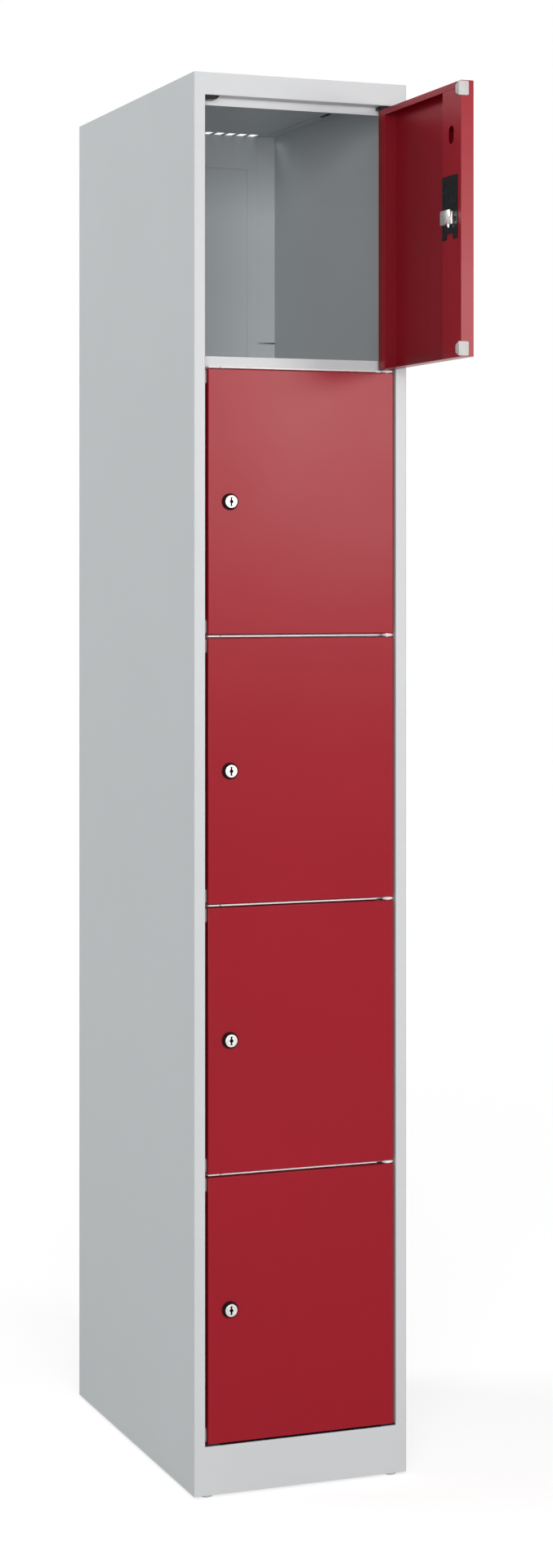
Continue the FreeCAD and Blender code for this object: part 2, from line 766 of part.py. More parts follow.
def lock_bolt():
    """A hook plate on a base behind the case, with a neck through the case to the crank's slotted slider."""
    slot_bottom = f"({CRANK_Z} - {HALF_SLOT})"
    slot_top = f"({LOCK_Z} + {THROW} + {HALF_SLOT})"
    slider = plate(
        (f"{CRANK_X} - {HALF_SLIDER}", f"{CRANK_X} + {HALF_SLIDER}"),
        (SLIDER_FRONT, SLIDER_REAR),
        (f"{LOCK_Z} - slider_drop", f"{slot_top} + slider_web"),
    )
    slot = plate(
        (f"{CRANK_X} - {HALF_SLOT}", f"{CRANK_X} + {HALF_SLOT}"),
        (SLIDER_FRONT, SLIDER_REAR),
        (slot_bottom, slot_top),
    )
    neck = plate(
        (NECK, f"{NECK} + neck_width"),
        (SLIDER_REAR, BASE_FRONT),
        (f"{LOCK_Z} - neck_drop", f"{LOCK_Z} - neck_drop + neck_height"),
    )
    bottom = f"({LOCK_Z} - bolt_drop)"
    base_left = f"({LOCK_X} - base_start)"
    base = plate(
        (base_left, f"{base_left} + base_length"),
        (BASE_FRONT, HOOK_FRONT),
        (bottom, f"{bottom} + base_height"),
    )
    hook_left = f"({LOCK_X} - hook_start)"
    hook = plate(
        (hook_left, f"{hook_left} + hook_length"),
        (HOOK_FRONT, HOOK_REAR),
        (bottom, f"{bottom} + hook_height"),
    )

    def is_lower_corner(box):
        at_end = near(box.XMin, hook_left) and near(box.XMax, hook_left)
        return at_end and near(box.ZMin, bottom) and near(box.ZMax, bottom)

    cornered = dress("Part::Chamfer", hook, [(is_lower_corner, "hook_chamfer")])
    tip = upright_rod("tip_radius", LOCK_X, f"{BASE_FRONT} + tip_radius", (f"{bottom} - tip_length", bottom))
    return fuse(cut(slider, slot), neck, base, cornered, tip)


side_panel("left_side_panel", -1)
side_panel("right_side_panel", 1)
back_panel()
top_panel()
floor_sheet("bottom_panel", FLOOR, f"{PLINTH} - strip_overlap")
plinth_panel()
for shelf in range(1, DOOR_COUNT):
    floor_sheet(f"shelf_{shelf}", shelf_top(shelf), f"{shelf_top(shelf)} - rail_height")
feet()
gap_strips()
hinge_bearings()
frame_inserts()
hinge_pins()
for door in range(1, DOOR_COUNT + 1):
    hang(door, f"door_{door}_pan", door_pan())
    hang(door, f"door_{door}_lock_channel", lock_channel())
    hang(door, f"door_{door}_lock_case", lock_case())
    hang(door, f"door_{door}_lock_housing", lock_housing())
    hang(door, f"door_{door}_buffers", buffers())
    hang(door, f"door_{door}_pivot_blocks", pivot_blocks())
    hang(door, f"lock_{door}_core", lock_core())
    hang(door, f"lock_{door}_crank", lock_crank())
    hang(door, f"lock_{door}_bolt", lock_bolt())
doc.recompute()

for item in doc.Objects:
    if "Invalid" in item.State or "Error" in item.State:
        raise RuntimeError(f"{item.Label} failed: {item.State}")
for solid in sub_parts:
    if solid.Shape.isNull() or not solid.Shape.isValid():
        raise RuntimeError(f"{solid.Label} has no valid shape")

os.makedirs("parts", exist_ok=True)
for solid in sub_parts:
    solid.Shape.exportStep(f"parts/{solid.Label}.step")
    print(solid.Label, len(solid.Shape.Solids), "solids", round(solid.Shape.Volume, 1), "mm3")
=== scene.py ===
import json
import math

import bmesh
import bpy
from bpy.props import FloatProperty, FloatVectorProperty, IntProperty, PointerProperty
from mathutils import Matrix, Vector

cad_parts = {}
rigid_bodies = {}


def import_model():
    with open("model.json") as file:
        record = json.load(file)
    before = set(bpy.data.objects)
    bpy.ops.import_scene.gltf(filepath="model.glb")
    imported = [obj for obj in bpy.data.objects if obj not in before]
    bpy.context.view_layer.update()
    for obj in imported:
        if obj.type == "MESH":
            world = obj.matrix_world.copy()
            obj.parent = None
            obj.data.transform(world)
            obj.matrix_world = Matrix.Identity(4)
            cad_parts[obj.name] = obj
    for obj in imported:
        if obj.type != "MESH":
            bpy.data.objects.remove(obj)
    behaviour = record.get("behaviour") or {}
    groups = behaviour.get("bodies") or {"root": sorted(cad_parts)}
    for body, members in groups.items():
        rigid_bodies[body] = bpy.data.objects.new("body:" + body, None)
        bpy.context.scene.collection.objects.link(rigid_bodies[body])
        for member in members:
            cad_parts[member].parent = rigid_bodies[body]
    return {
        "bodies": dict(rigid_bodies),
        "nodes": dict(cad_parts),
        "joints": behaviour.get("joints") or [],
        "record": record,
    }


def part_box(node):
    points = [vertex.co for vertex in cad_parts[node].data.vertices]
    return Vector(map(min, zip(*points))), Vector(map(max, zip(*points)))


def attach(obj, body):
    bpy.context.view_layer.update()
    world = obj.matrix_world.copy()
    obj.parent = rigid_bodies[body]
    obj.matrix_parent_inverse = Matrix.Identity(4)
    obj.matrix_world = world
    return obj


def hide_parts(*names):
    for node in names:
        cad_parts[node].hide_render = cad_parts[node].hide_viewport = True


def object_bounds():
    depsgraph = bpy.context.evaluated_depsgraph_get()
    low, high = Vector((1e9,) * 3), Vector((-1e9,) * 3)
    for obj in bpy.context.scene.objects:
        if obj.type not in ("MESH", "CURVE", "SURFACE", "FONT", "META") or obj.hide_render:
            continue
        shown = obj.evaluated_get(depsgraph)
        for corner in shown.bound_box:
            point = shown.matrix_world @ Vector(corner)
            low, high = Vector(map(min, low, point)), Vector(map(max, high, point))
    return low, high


bl_info = {
    "name": "Compartment locker",
    "version": (1, 0, 0),
    "blender": (4, 5, 0),
    "location": "View3D > Sidebar > Locker",
    "description": "Finishes and fittings of a steel compartment locker, built around its CAD frame",
    "category": "Object",
}

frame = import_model()
CAD_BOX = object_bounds()

MM = 0.001
# Corners nearer to each other than this are one
WELD_DISTANCE = 1e-6
# The largest part of a normal along an axis, from which a face of a door is flat sheet
FLAT_SHEET = 0.99
# Edges that turn by more than this are creases
SHARP_ANGLE = math.radians(32)
TURN_STEPS = 64
EDGE_SEGMENTS = 2
BEND_SEGMENTS = 4
ROUND_PROFILE = 0.5
# The flat of a bearing's rim to each side of its middle, as a share of its radius
BEARING_LAND = 0.06
WHITE = (1.0, 1.0, 1.0, 1.0)

JOINTS = {joint["name"]: joint for joint in frame["joints"]}
DOORS = sorted(int(name.split("_")[1]) for name in frame["bodies"] if name.startswith("door_"))
# The door that gives the sizes of its pieces, because it is closed
CLOSED_DOOR = DOORS[-1]
SHEETS = [name for name in frame["nodes"] if name.endswith("_panel") or name.startswith("shelf_")]


# Places in the frame

def door_place(number):
    """The matrix from a closed door's own frame, about its hinge at the lower edge, to where the door is."""
    hinge = JOINTS[f"door_{number}_hinge"]
    x, y, _ = hinge["pos_m"]
    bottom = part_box(f"door_{number}_pan")[0].z
    swing = -math.radians(hinge["range_deg"][0])
    return Matrix.Translation((x, y, bottom)) @ Matrix.Rotation(swing, 4, "Z")


def door_box(piece):
    """The lowest and highest corners of a door's piece, in the closed door's own frame."""
    to_door = door_place(CLOSED_DOOR).inverted()
    low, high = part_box(piece.format(CLOSED_DOOR))
    return to_door @ low, to_door @ high


def lock_axis():
    """Where the lock's axis crosses a door, as x and z in the door's own frame."""
    low, high = door_box("lock_{}_core")
    return (low.x + high.x) / 2, (low.z + high.z) / 2


# Settings

def length(name, description, default):
    return FloatProperty(name=name, description=description, default=default, unit="LENGTH", precision=5)


def mm(name, description, default):
    """A length whose default is given in millimetres."""
    return length(name, description, default * MM)


def amount(name, description, default):
    return FloatProperty(name=name, description=description, default=default)


def position(name, description, default):
    return FloatVectorProperty(name=name, description=description, default=default, unit="LENGTH")


def extent(name, description, default):
    return FloatVectorProperty(name=name, description=description, default=default, size=2, unit="LENGTH")


def colour(name, description, default):
    return FloatVectorProperty(
        name=name, description=description, default=(*default, 1.0), subtype="COLOR", size=4, min=0.0, max=1.0
    )


class LockerFinishes(bpy.types.PropertyGroup):
    """Colours and surface texture of the locker."""

    carcass_paint: colour("Carcass paint", "Light grey powder coat", (0.598, 0.632, 0.645))
    door_paint: colour("Door paint", "Deep red powder coat", (0.295, 0.005, 0.015))
    # The door red darkened, as painted shade on the hinge fold
    fold_shade_paint: colour("Fold paint", "Thin red coat inside the hinge fold", (0.185, 0.004, 0.010))
    black_plastic: colour("Black plastic", "Lock cases, bezels and inserts", (0.014, 0.015, 0.016))
    white_plastic: colour("White plastic", "Strips and bearings in the door gaps", (0.92, 0.90, 0.89))
    buffer_plastic: colour("Buffer plastic", "Corner buffers of the doors", (0.52, 0.52, 0.51))
    foot_plastic: colour("Foot plastic", "Glides under the corners", (0.50, 0.50, 0.50))
    nickel: colour("Nickel", "Bolts", (0.80, 0.79, 0.77))
    plug_plate: colour("Plug plate", "Duller nickel of the lock plugs", (0.57, 0.575, 0.565))
    zinc_steel: colour("Zinc", "Pivot pins and cranks", (0.60, 0.61, 0.62))
    keyway_shadow: colour("Keyway shadow", "Dark inside of the keyways", (0.03, 0.033, 0.032))
    peel_size: mm("Orange peel", "Width of a ripple in the powder coat", 1.6)
    peel_height: mm("Orange peel height", "Height of a ripple in the powder coat", 0.006)
    grain_size: mm("Moulded grain", "Width of a grain in the plastics", 0.5)
    grain_height: mm("Moulded grain height", "Height of a grain in the plastics", 0.012)
    polish_size: mm("Polish lines", "Width of a polishing line in the metals", 0.3)
    polish_height: mm("Polish line height", "Depth of a polishing line in the metals", 0.002)


class LockerFittings(bpy.types.PropertyGroup):
    """Sizes of the modelled fittings that the frame doesn't give."""

    edge_round: mm("Edge rounding", "Rounding of moulded edges", 0.4)
    carcass_bend: mm("Carcass bend", "Outer radius of the folds of the carcass", 1.6)
    # Sizes of the black strip that paints the shadow in the gap under the lowest door
    seal_height: mm("Seal height", "Thickness of the seal on the plinth", 0.5)
    seal_round: mm("Seal rounding", "Rounding of the seal's edges", 0.2)
    door_gauge: mm("Door gauge", "Thickness of the door sheet", 0.8)
    door_bend: mm("Door bend", "Outer radius of the folds of a door", 1)
    door_lip: mm("Door lip", "Height of the lip behind a door's upper edge", 8)
    channel_width: mm("Channel width", "Width of the lock channel", 55.6)
    lip_seam: mm("Lip seam", "Width of the joint in the upper lip", 0.5)
    seam_inset: mm("Seam inset", "Distance of the joint from the hinge edge", 94.6)
    pin_play: mm("Pin play", "Clearance of a pivot pin in the door sheet", 0.4)
    barrel_play: mm("Barrel play", "Clearance of the lock barrel in the door sheet", 0.1)
    hinge_return: mm("Hinge return", "Width of the fold along a door's hinge edge", 20)
    insert_length: mm("Insert length", "Length of a frame insert along the gap", 20.3)
    insert_play: mm("Insert play", "Clearance from an insert to the door", 0.45)
    insert_land: mm("Insert land", "Height left upright at an insert's slanted end", 0.8)
    insert_round: mm("Insert rounding", "Rounding of an insert's edges", 0.24)
    strip_gap: mm("Strip gap", "Gap between a strip and its end stop", 1.5)
    strip_round: mm("Strip rounding", "Rounding of the edges of strips and arms", 0.2)
    strip_lead: mm("Strip lead", "How far a strip's nose stands in front of the frame's strip", 4)
    stop_length: mm("Stop length", "Length of the end stop beside a strip", 15.6)
    bearing_rim: mm("Bearing rim", "Radius of a hinge bearing at its flat faces", 6.2)
    arm_thickness: mm("Arm thickness", "Thickness of a bearing's arm", 2.4)
    arm_setback: mm("Arm setback", "How far a bearing's arm lies behind the pivot", 4)
    pin_radius: mm("Pin radius", "Radius of the pivot pins", 3)
    foot_height: mm("Foot height", "Height of a glide's pad", 3)
    foot_round: mm("Foot rounding", "Rounding of a glide's rim", 0.8)
    stud_radius: mm("Stud radius", "Radius of a glide's stud", 3)
    buffer_height: mm("Buffer height", "Height of a corner buffer", 18)
    buffer_edge: mm("Buffer edge", "Thickness of the buffer around the door's edge", 1.5)
    buffer_wrap: mm("Buffer wrap", "How far a buffer reaches along the door's edge", 10)
    buffer_taper: mm("Buffer taper", "How much a buffer narrows at its inner corners", 4.3)
    buffer_corner: mm("Buffer corner", "Rounding of a buffer's front corners", 2)
    bezel_height: mm("Bezel height", "How far the lock bezel stands proud", 6.5)
    bezel_rim: mm("Bezel rim", "Outer radius of the bezel at its front", 9.1)
    bezel_flank: mm("Bezel flank", "Depth over which the bezel widens", 5)
    bezel_round: mm("Bezel rounding", "Rounding of the bezel's rim", 0.5)
    bezel_chamfer: mm("Bezel chamfer", "Chamfer around the lock plug", 0.2)
    barrel_step: mm("Barrel step", "How much slimmer the barrel is than the bezel", 1)
    plug_radius: mm("Plug radius", "Radius of the lock plug", 8.3)
    plug_play: mm("Plug play", "Clearance between plug and bezel", 0.05)
    plug_round: mm("Plug rounding", "Rounding of the plug's front edge", 0.4)
    tail_radius: mm("Tail radius", "Radius of the tail behind the plug", 3.5)
    tail_length: mm("Tail length", "Length of the tail behind the plug", 5.3)
    ring_radius: mm("Ring radius", "Radius of the ring groove in the plug's face", 5.9)
    ring_width: mm("Ring width", "Width of the ring groove", 0.5)
    ring_depth: mm("Ring depth", "Depth of the ring groove", 0.25)
    keyway_depth: mm("Keyway depth", "Depth of the keyway", 8)
    keyway_half: mm("Keyway half height", "Half the height of the keyway", 5.6)
    keyway_post: mm("Keyway post", "Half the width of the keyway's diamond", 2.7)
    keyway_neck: mm("Keyway neck", "Half the width of the keyway's neck", 1)
    keyway_end: mm("Keyway end", "Half the width of the keyway's square ends", 1.3)
    keyway_blunt: mm("Keyway blunt", "Half the height of the diamond's blunt corners", 0.54)
    keyway_flare: mm("Keyway flare", "Height over which a neck widens to its end", 0.52)
    hook_length: mm("Hook length", "Length of the bolt's hook plate", 27.5)
    hook_height: mm("Hook height", "Height of the bolt's hook plate", 18)
    hook_plate: mm("Hook plate", "Thickness of the bolt's hook plate", 2.7)
    hook_corner: mm("Hook corner", "Length of the cut at the hook's lower corner", 13)
    hook_cut: mm("Hook cut", "Height of the cut at the hook's lower corner", 9)
    base_length: mm("Base length", "Length of the bolt's base", 27)
    base_height: mm("Base height", "Height of the bolt's base", 16)
    base_plate: mm("Base plate", "Thickness of the bolt's base", 3.5)
    base_round: mm("Base rounding", "Rounding of the edges of the bolt's base", 0.24)
    bolt_groove: mm("Bolt groove", "Groove between the hook plate and the base", 0.3)
    bolt_tip: mm("Bolt tip", "Length of the bolt's tip", 4)
    tip_radius: mm("Tip radius", "Radius of the bolt's tip", 2.2)
    tip_flat: mm("Tip flat", "Radius of the flat end of the bolt's tip", 0.88)
    tip_taper: mm("Tip taper", "Length of the taper of the bolt's tip", 2.4)
    slider_web: mm("Slider web", "Width of the slider around its slot", 1.6)
    slider_plate: mm("Slider plate", "Thickness of the slider", 2)
    slider_drop: mm("Slider drop", "How far the slider reaches below the lock's axis", 3)
    slot_rise: mm("Slot rise", "Height of the slider's slot above the lock's axis", 11.65)
    neck_height: mm("Neck height", "Height of the bolt's neck", 6)
    neck_drop: mm("Neck drop", "How far the neck reaches below the lock's axis", 2)
    clip_length: mm("Clip length", "Length of a clip under the lid", 32)
    clip_width: mm("Clip width", "Width of a clip under the lid", 5)
    clip_start: mm("Clip start", "Place of a clip's front end from the middle of the lid", -4)
    clip_inset: mm("Clip inset", "Distance of a clip from the side", 9)
    clip_thickness: mm("Clip thickness", "Thickness of a clip under the lid", 1.2)
    lid_gauge: mm("Lid gauge", "Thickness of the lid and its folds", 1.6)
    weld_radius: mm("Weld radius", "Radius of a spot-weld mark", 2.6)
    weld_crest: mm("Weld crest", "Radius of the raised ring of a spot-weld mark", 1.95)
    weld_rise: mm("Weld rise", "Height of the raised ring of a spot-weld mark", 0.12)
    weld_dimple: mm("Weld dimple", "Height of the middle of a spot-weld mark", 0.072)
    weld_inset: mm("Weld inset", "Distance of the spot welds from the sides", 15)
    weld_margin: mm("Weld margin", "Distance of the end welds from top and bottom", 60)
    weld_count: IntProperty(name="Welds", description="Spot welds in one row", default=13, min=2)


class LockerStage(bpy.types.PropertyGroup):
    """Camera and studio light."""

    camera_place: position("Camera", "Place of the camera", (-1.39641, -3.76166, 1.20207))
    camera_turn: FloatProperty(
        name="Camera turn", description="Turn of the camera to the right", default=0.36966, unit="ROTATION"
    )
    focal_pixels: amount("Focal length", "In pixels of the photograph", 3521.97)
    horizon_row: amount("Horizon", "Row of the horizon in the photograph", 699.8)
    image_height: IntProperty(name="Image height", description="Rows of the photograph", default=1920)
    ambient: amount("Ambient", "Strength of the light from all round", 0.22)
    key_place: position("Key place", "Place of the key light", (1.7, -4.2, 1.76))
    key_size: extent("Key size", "Width and height of the key light", (1.1, 0.8))
    key_power: amount("Key power", "Power of the key light in watts", 58.0)
    key_tint: colour("Key tint", "Warm tint of the key light", (1.0, 0.89, 0.88))
    fill_place: position("Fill place", "Place of the large front light", (-1.5, -4.6, 1.85))
    fill_size: extent("Fill size", "Width and height of the front light", (3.0, 1.5))
    fill_power: amount("Fill power", "Power of the front light in watts", 126.0)
    side_place: position("Side place", "Place of the left light", (-3.4, 1.9, 3.2))
    side_size: extent("Side size", "Width and height of the left light", (2.0, 1.5))
    side_power: amount("Side power", "Power of the left light in watts", 66.0)
    top_place: position("Top place", "Place of the overhead light", (0.15, -0.4, 3.9))
    top_size: extent("Top size", "Width and depth of the overhead light", (2.5, 2.5))
    top_power: amount("Top power", "Power of the overhead light in watts", 14.0)
    floor_side: length("Floor", "Side of the floor", 60.0)
    floor_paint: colour("Floor paint", "Pale studio floor", (0.55, 0.55, 0.55))
    floor_glow: amount("Floor glow", "White added to the floor by the locker, as it is seen", 0.66)
    far_glow: amount("Far glow", "White added to the floor far off, as it is seen", 0.88)
    glow_near: length("Glow near", "Distance at which the floor's white begins to grow", 0.5)
    glow_far: length("Glow far", "Distance at which the floor's white is full", 5.0)


# Shader nodes

def add_node(tree, kind, settings=(), inputs=()):
    """A new node with its settings and inputs. An input that is another node's socket is linked."""
    node = tree.nodes.new(kind)
    for name, value in dict(settings).items():
        setattr(node, name, value)
    for name, value in dict(inputs).items():
        if isinstance(value, bpy.types.NodeSocket):
            tree.links.new(value, node.inputs[name])
        else:
            node.inputs[name].default_value = value
    return node


def math_node(tree, operation, *values):
    node = add_node(tree, "ShaderNodeMath", {"operation": operation}, dict(enumerate(values)))
    return node.outputs["Value"]


def vector_node(tree, operation, inputs):
    return add_node(tree, "ShaderNodeVectorMath", {"operation": operation}, inputs).outputs


def noise(tree, vector, scale, detail=0.0):
    inputs = {"Vector": vector, "Scale": scale, "Detail": detail}
    return add_node(tree, "ShaderNodeTexNoise", inputs=inputs).outputs["Fac"]


def spread(tree, value, low, high, start=0.3, end=0.7):
    """A value between start and end, as most of a noise is, spread over low to high."""
    inputs = {"Value": value, "From Min": start, "From Max": end, "To Min": low, "To Max": high}
    return add_node(tree, "ShaderNodeMapRange", inputs=inputs).outputs["Result"]


def empty_tree(owner):
    """The cleared node tree of a material or a world."""
    owner.use_nodes = True
    owner.node_tree.nodes.clear()
    return owner.node_tree


SURFACE_SOCKETS = (
    ("INPUT", "Vector", "NodeSocketVector"),
    ("INPUT", "Colour", "NodeSocketColor"),
    ("INPUT", "Roughness", "NodeSocketFloat"),
    ("INPUT", "Fineness", "NodeSocketFloat"),
    ("OUTPUT", "Colour", "NodeSocketColor"),
    ("OUTPUT", "Roughness", "NodeSocketFloat"),
    ("OUTPUT", "Height", "NodeSocketFloat"),
)


def new_group(name, kind, sockets):
    """An empty node group with its sockets, and the sockets of its input and output nodes."""
    tree = bpy.data.node_groups.new(name, kind)
    for side, label, socket in sockets:
        tree.interface.new_socket(label, in_out=side, socket_type=socket)
    return tree, tree.nodes.new("NodeGroupInput").outputs, tree.nodes.new("NodeGroupOutput").inputs


def surface_group(name):
    """A shader group with the sockets that every finish uses."""
    return new_group(name, "ShaderNodeTree", SURFACE_SOCKETS)


def tinted(tree, tint, shade):
    """A colour made lighter or darker by a shade near 1."""
    return vector_node(tree, "SCALE", {0: tint, "Scale": shade})["Vector"]


# Height of the slow waves in a sheet, in heights of a ripple of its powder coat
WAVE_HEIGHT = 30.0
# Polishing lines are drawn out along the piece
POLISH_STRETCH = (1.0, 1.0, 0.08)


def powder_coat_group():
    """Sprayed and baked powder: fine orange peel, slow waves in the sheet and a faint cloud in the colour."""
    tree, given, result = surface_group("Powder coat")
    place = given["Vector"]
    peel = noise(tree, place, given["Fineness"], detail=1.0)
    cloud = noise(tree, place, scale=5.0, detail=3.0)
    waves = noise(tree, place, scale=7.0)
    shade = spread(tree, cloud, low=0.985, high=1.015)
    tree.links.new(tinted(tree, given["Colour"], shade), result["Colour"])
    rough = math_node(tree, "ADD", given["Roughness"], spread(tree, cloud, low=-0.02, high=0.02))
    tree.links.new(rough, result["Roughness"])
    tree.links.new(math_node(tree, "MULTIPLY_ADD", waves, WAVE_HEIGHT, peel), result["Height"])
    return tree


def moulded_grain_group():
    """Moulded plastic: a fine sparked grain with some flow marks."""
    tree, given, result = surface_group("Moulded grain")
    place = given["Vector"]
    grain = noise(tree, place, given["Fineness"], detail=2.0)
    flow = noise(tree, place, scale=120.0, detail=1.0)
    grain_shade = spread(tree, grain, low=0.94, high=1.06)
    flow_shade = spread(tree, flow, low=0.97, high=1.03)
    shade = math_node(tree, "MULTIPLY", grain_shade, flow_shade)
    tree.links.new(tinted(tree, given["Colour"], shade), result["Colour"])
    rough = math_node(tree, "ADD", given["Roughness"], spread(tree, flow, low=-0.05, high=0.05))
    tree.links.new(rough, result["Roughness"])
    tree.links.new(grain, result["Height"])
    return tree


def plated_metal_group():
    """Plated metal: polishing lines along the piece and cloudy patches of duller plate."""
    tree, given, result = surface_group("Plated metal")
    stretch = vector_node(tree, "MULTIPLY", {0: given["Vector"], 1: POLISH_STRETCH})["Vector"]
    lines = noise(tree, stretch, given["Fineness"], detail=2.0)
    cloud = noise(tree, given["Vector"], scale=260.0, detail=2.0)
    shade = spread(tree, cloud, low=0.93, high=1.02)
    tree.links.new(tinted(tree, given["Colour"], shade), result["Colour"])
    cloud_rough = spread(tree, cloud, low=-0.03, high=0.05)
    line_rough = spread(tree, lines, low=-0.02, high=0.02)
    dull = math_node(tree, "ADD", cloud_rough, line_rough)
    tree.links.new(math_node(tree, "ADD", given["Roughness"], dull), result["Roughness"])
    tree.links.new(lines, result["Height"])
    return tree


def surface_material(name, group, tint, roughness, width, height, constants):
    """A material whose colour, roughness and bump come from a surface group with grains of a size."""
    material = bpy.data.materials.new(f"{name}_finish")
    tree = empty_tree(material)
    place = add_node(tree, "ShaderNodeTexCoord").outputs["Object"]
    given = {"Vector": place, "Colour": tint, "Roughness": roughness, "Fineness": 1.0 / width}
    surface = add_node(tree, "ShaderNodeGroup", {"node_tree": group}, given).outputs
    bump = add_node(tree, "ShaderNodeBump", inputs={"Distance": height, "Height": surface["Height"]})
    inputs = {
        "Base Color": surface["Colour"],
        "Roughness": surface["Roughness"],
        "Normal": bump.outputs["Normal"],
        **constants,
    }
    shader = add_node(tree, "ShaderNodeBsdfPrincipled", inputs=inputs)
    add_node(tree, "ShaderNodeOutputMaterial", inputs={"Surface": shader.outputs["BSDF"]})


# Roughness and shader constants of each finish, by its name in the settings
SATIN = {"Specular IOR Level": 0.17}
GLOSS = {"Specular IOR Level": 0.18}
PLAIN = {"Specular IOR Level": 0.4}
FAINT = {"Specular IOR Level": 0.1}
METAL = {"Metallic": 1.0}
PAINTS = {
    "carcass_paint": (0.36, SATIN),
    "door_paint": (0.29, GLOSS),
    # The door red darkened, as painted shade on the hinge fold
    "fold_shade_paint": (0.40, SATIN),
}
PLASTICS = {
    "black_plastic": (0.26, FAINT),
    "white_plastic": (0.30, PLAIN),
    "buffer_plastic": (0.50, PLAIN),
    "foot_plastic": (0.50, PLAIN),
}
METALS = {
    "nickel": (0.34, METAL),
    "plug_plate": (0.40, METAL),
    "zinc_steel": (0.30, METAL),
    "keyway_shadow": (0.45, METAL),
}


def finish(name):
    """The material of a finish."""
    return bpy.data.materials[f"{name}_finish"]


# Mesh tools

TO_SPACE = {
    "X": lambda u, v, along: (along, u, v),
    "Y": lambda u, v, along: (u, along, v),
    "Z": lambda u, v, along: (u, v, along),
}


def face_outwards(bm, verts):
    """Turns the faces of the shell that the vertices belong to outwards."""
    bmesh.ops.recalc_face_normals(bm, faces=list({face for vert in verts for face in vert.link_faces}))


def bevel(bm, edges, radius, segments):
    return bmesh.ops.bevel(
        bm, geom=edges, offset=radius, segments=segments, profile=ROUND_PROFILE, affect="EDGES"
    )


def round_edges(bm, verts, radius):
    """Rounds the sharp edges of the shell that the vertices belong to."""
    face_outwards(bm, verts)
    edges = {edge for vert in verts for edge in vert.link_edges}
    bevel(bm, [edge for edge in edges if edge.calc_face_angle(0.0) > SHARP_ANGLE], radius, EDGE_SEGMENTS)


def draw(bm, outline, axis, along):
    """New vertices on a flat outline, at a place along an axis."""
    return [bm.verts.new(TO_SPACE[axis](u, v, along)) for u, v in outline]


def bridge(bm, loop, other):
    """Joins two closed loops of as many vertices with a band of faces."""
    count = len(loop)
    for this in range(count):
        following = (this + 1) % count
        bm.faces.new((loop[this], loop[following], other[following], other[this]))


def prism(bm, outline, axis, low, high):
    """A solid with a flat outline, drawn out along an axis. Returns its vertices."""
    ends = [draw(bm, outline, axis, along) for along in (low, high)]
    for end in ends:
        bm.faces.new(end)
    bridge(bm, *ends)
    return ends[0] + ends[1]


def block(bm, low, high):
    """A box between two corners. Returns its vertices."""
    return prism(bm, rectangle(low[0], low[1], high[0], high[1]), "Z", low[2], high[2])


def holed_plate(bm, outer, inner, axis, low, high):
    """A plate with one hole. Both outlines have as many points."""
    front, rear = ([draw(bm, outline, axis, along) for outline in (outer, inner)] for along in (low, high))
    for loop, other in (front, rear, *zip(front, rear)):
        bridge(bm, loop, other)


def rectangle(left, bottom, right, top):
    return [(left, bottom), (right, bottom), (right, top), (left, top)]


def arc(centre, radius, start, end, steps):
    """Points on an arc between two angles in degrees."""
    angles = [math.radians(start + (end - start) * step / steps) for step in range(steps + 1)]
    return [(centre[0] + radius * math.cos(turn), centre[1] + radius * math.sin(turn)) for turn in angles]


def turned(bm, profile, centre, axis, steps=TURN_STEPS):
    """A solid turned from a closed profile of radius and height about an axis through the centre."""
    upright = Vector(axis).to_track_quat("Z", "X").to_matrix()
    rings = []
    for step in range(steps):
        angle = math.tau * step / steps
        across = Vector((math.cos(angle), math.sin(angle), 0.0))
        points = [across * radius + Vector((0.0, 0.0, height)) for radius, height in profile]
        rings.append([bm.verts.new(Vector(centre) + upright @ point) for point in points])
    for ring, next_ring in zip(rings, rings[1:] + rings[:1]):
        bridge(bm, ring, next_ring)


def fill_mesh(mesh, bm):
    """Moves the edited mesh into the object's, with welded corners, outward faces and sharp creases."""
    bmesh.ops.remove_doubles(bm, verts=bm.verts, dist=WELD_DISTANCE)
    bmesh.ops.recalc_face_normals(bm, faces=bm.faces)
    bm.to_mesh(mesh)
    bm.free()
    mesh.shade_smooth()
    mesh.set_sharp_from_angle(angle=SHARP_ANGLE)


def add_object(name, data):
    """A new object in the scene."""
    added = bpy.data.objects.new(name, data)
    bpy.context.scene.collection.objects.link(added)
    return added


def make_piece(name, bm, *materials):
    """An object made of the edited mesh."""
    mesh = bpy.data.meshes.new(name)
    fill_mesh(mesh, bm)
    for material in materials:
        mesh.materials.append(finish(material))
    return add_object(name, mesh)


def apply_modifiers(piece):
    """Turns what the modifiers give into the piece's own plain mesh."""
    evaluated = piece.evaluated_get(bpy.context.evaluated_depsgraph_get())
    mesh = bpy.data.meshes.new_from_object(evaluated)
    piece.modifiers.clear()
    drawn = piece.data
    piece.data = mesh
    bpy.data.meshes.remove(drawn)
    mesh.name = piece.name


def combine(piece, tool, operation):
    """Cuts or joins a piece with a tool, which is used up."""
    modifier = piece.modifiers.new("Combine", "BOOLEAN")
    modifier.operation = operation
    modifier.solver = "EXACT"
    modifier.object = tool
    apply_modifiers(piece)
    spent = tool.data
    bpy.data.objects.remove(tool)
    bpy.data.meshes.remove(spent)
    bm = bmesh.new()
    bm.from_mesh(piece.data)
    fill_mesh(piece.data, bm)


ROW_SOCKETS = (
    ("INPUT", "Geometry", "NodeSocketGeometry"),
    ("INPUT", "Count", "NodeSocketInt"),
    ("INPUT", "Step", "NodeSocketVector"),
    ("INPUT", "Rows", "NodeSocketInt"),
    ("INPUT", "Row step", "NodeSocketVector"),
    ("INPUT", "Material", "NodeSocketMaterial"),
    ("OUTPUT", "Geometry", "NodeSocketGeometry"),
)


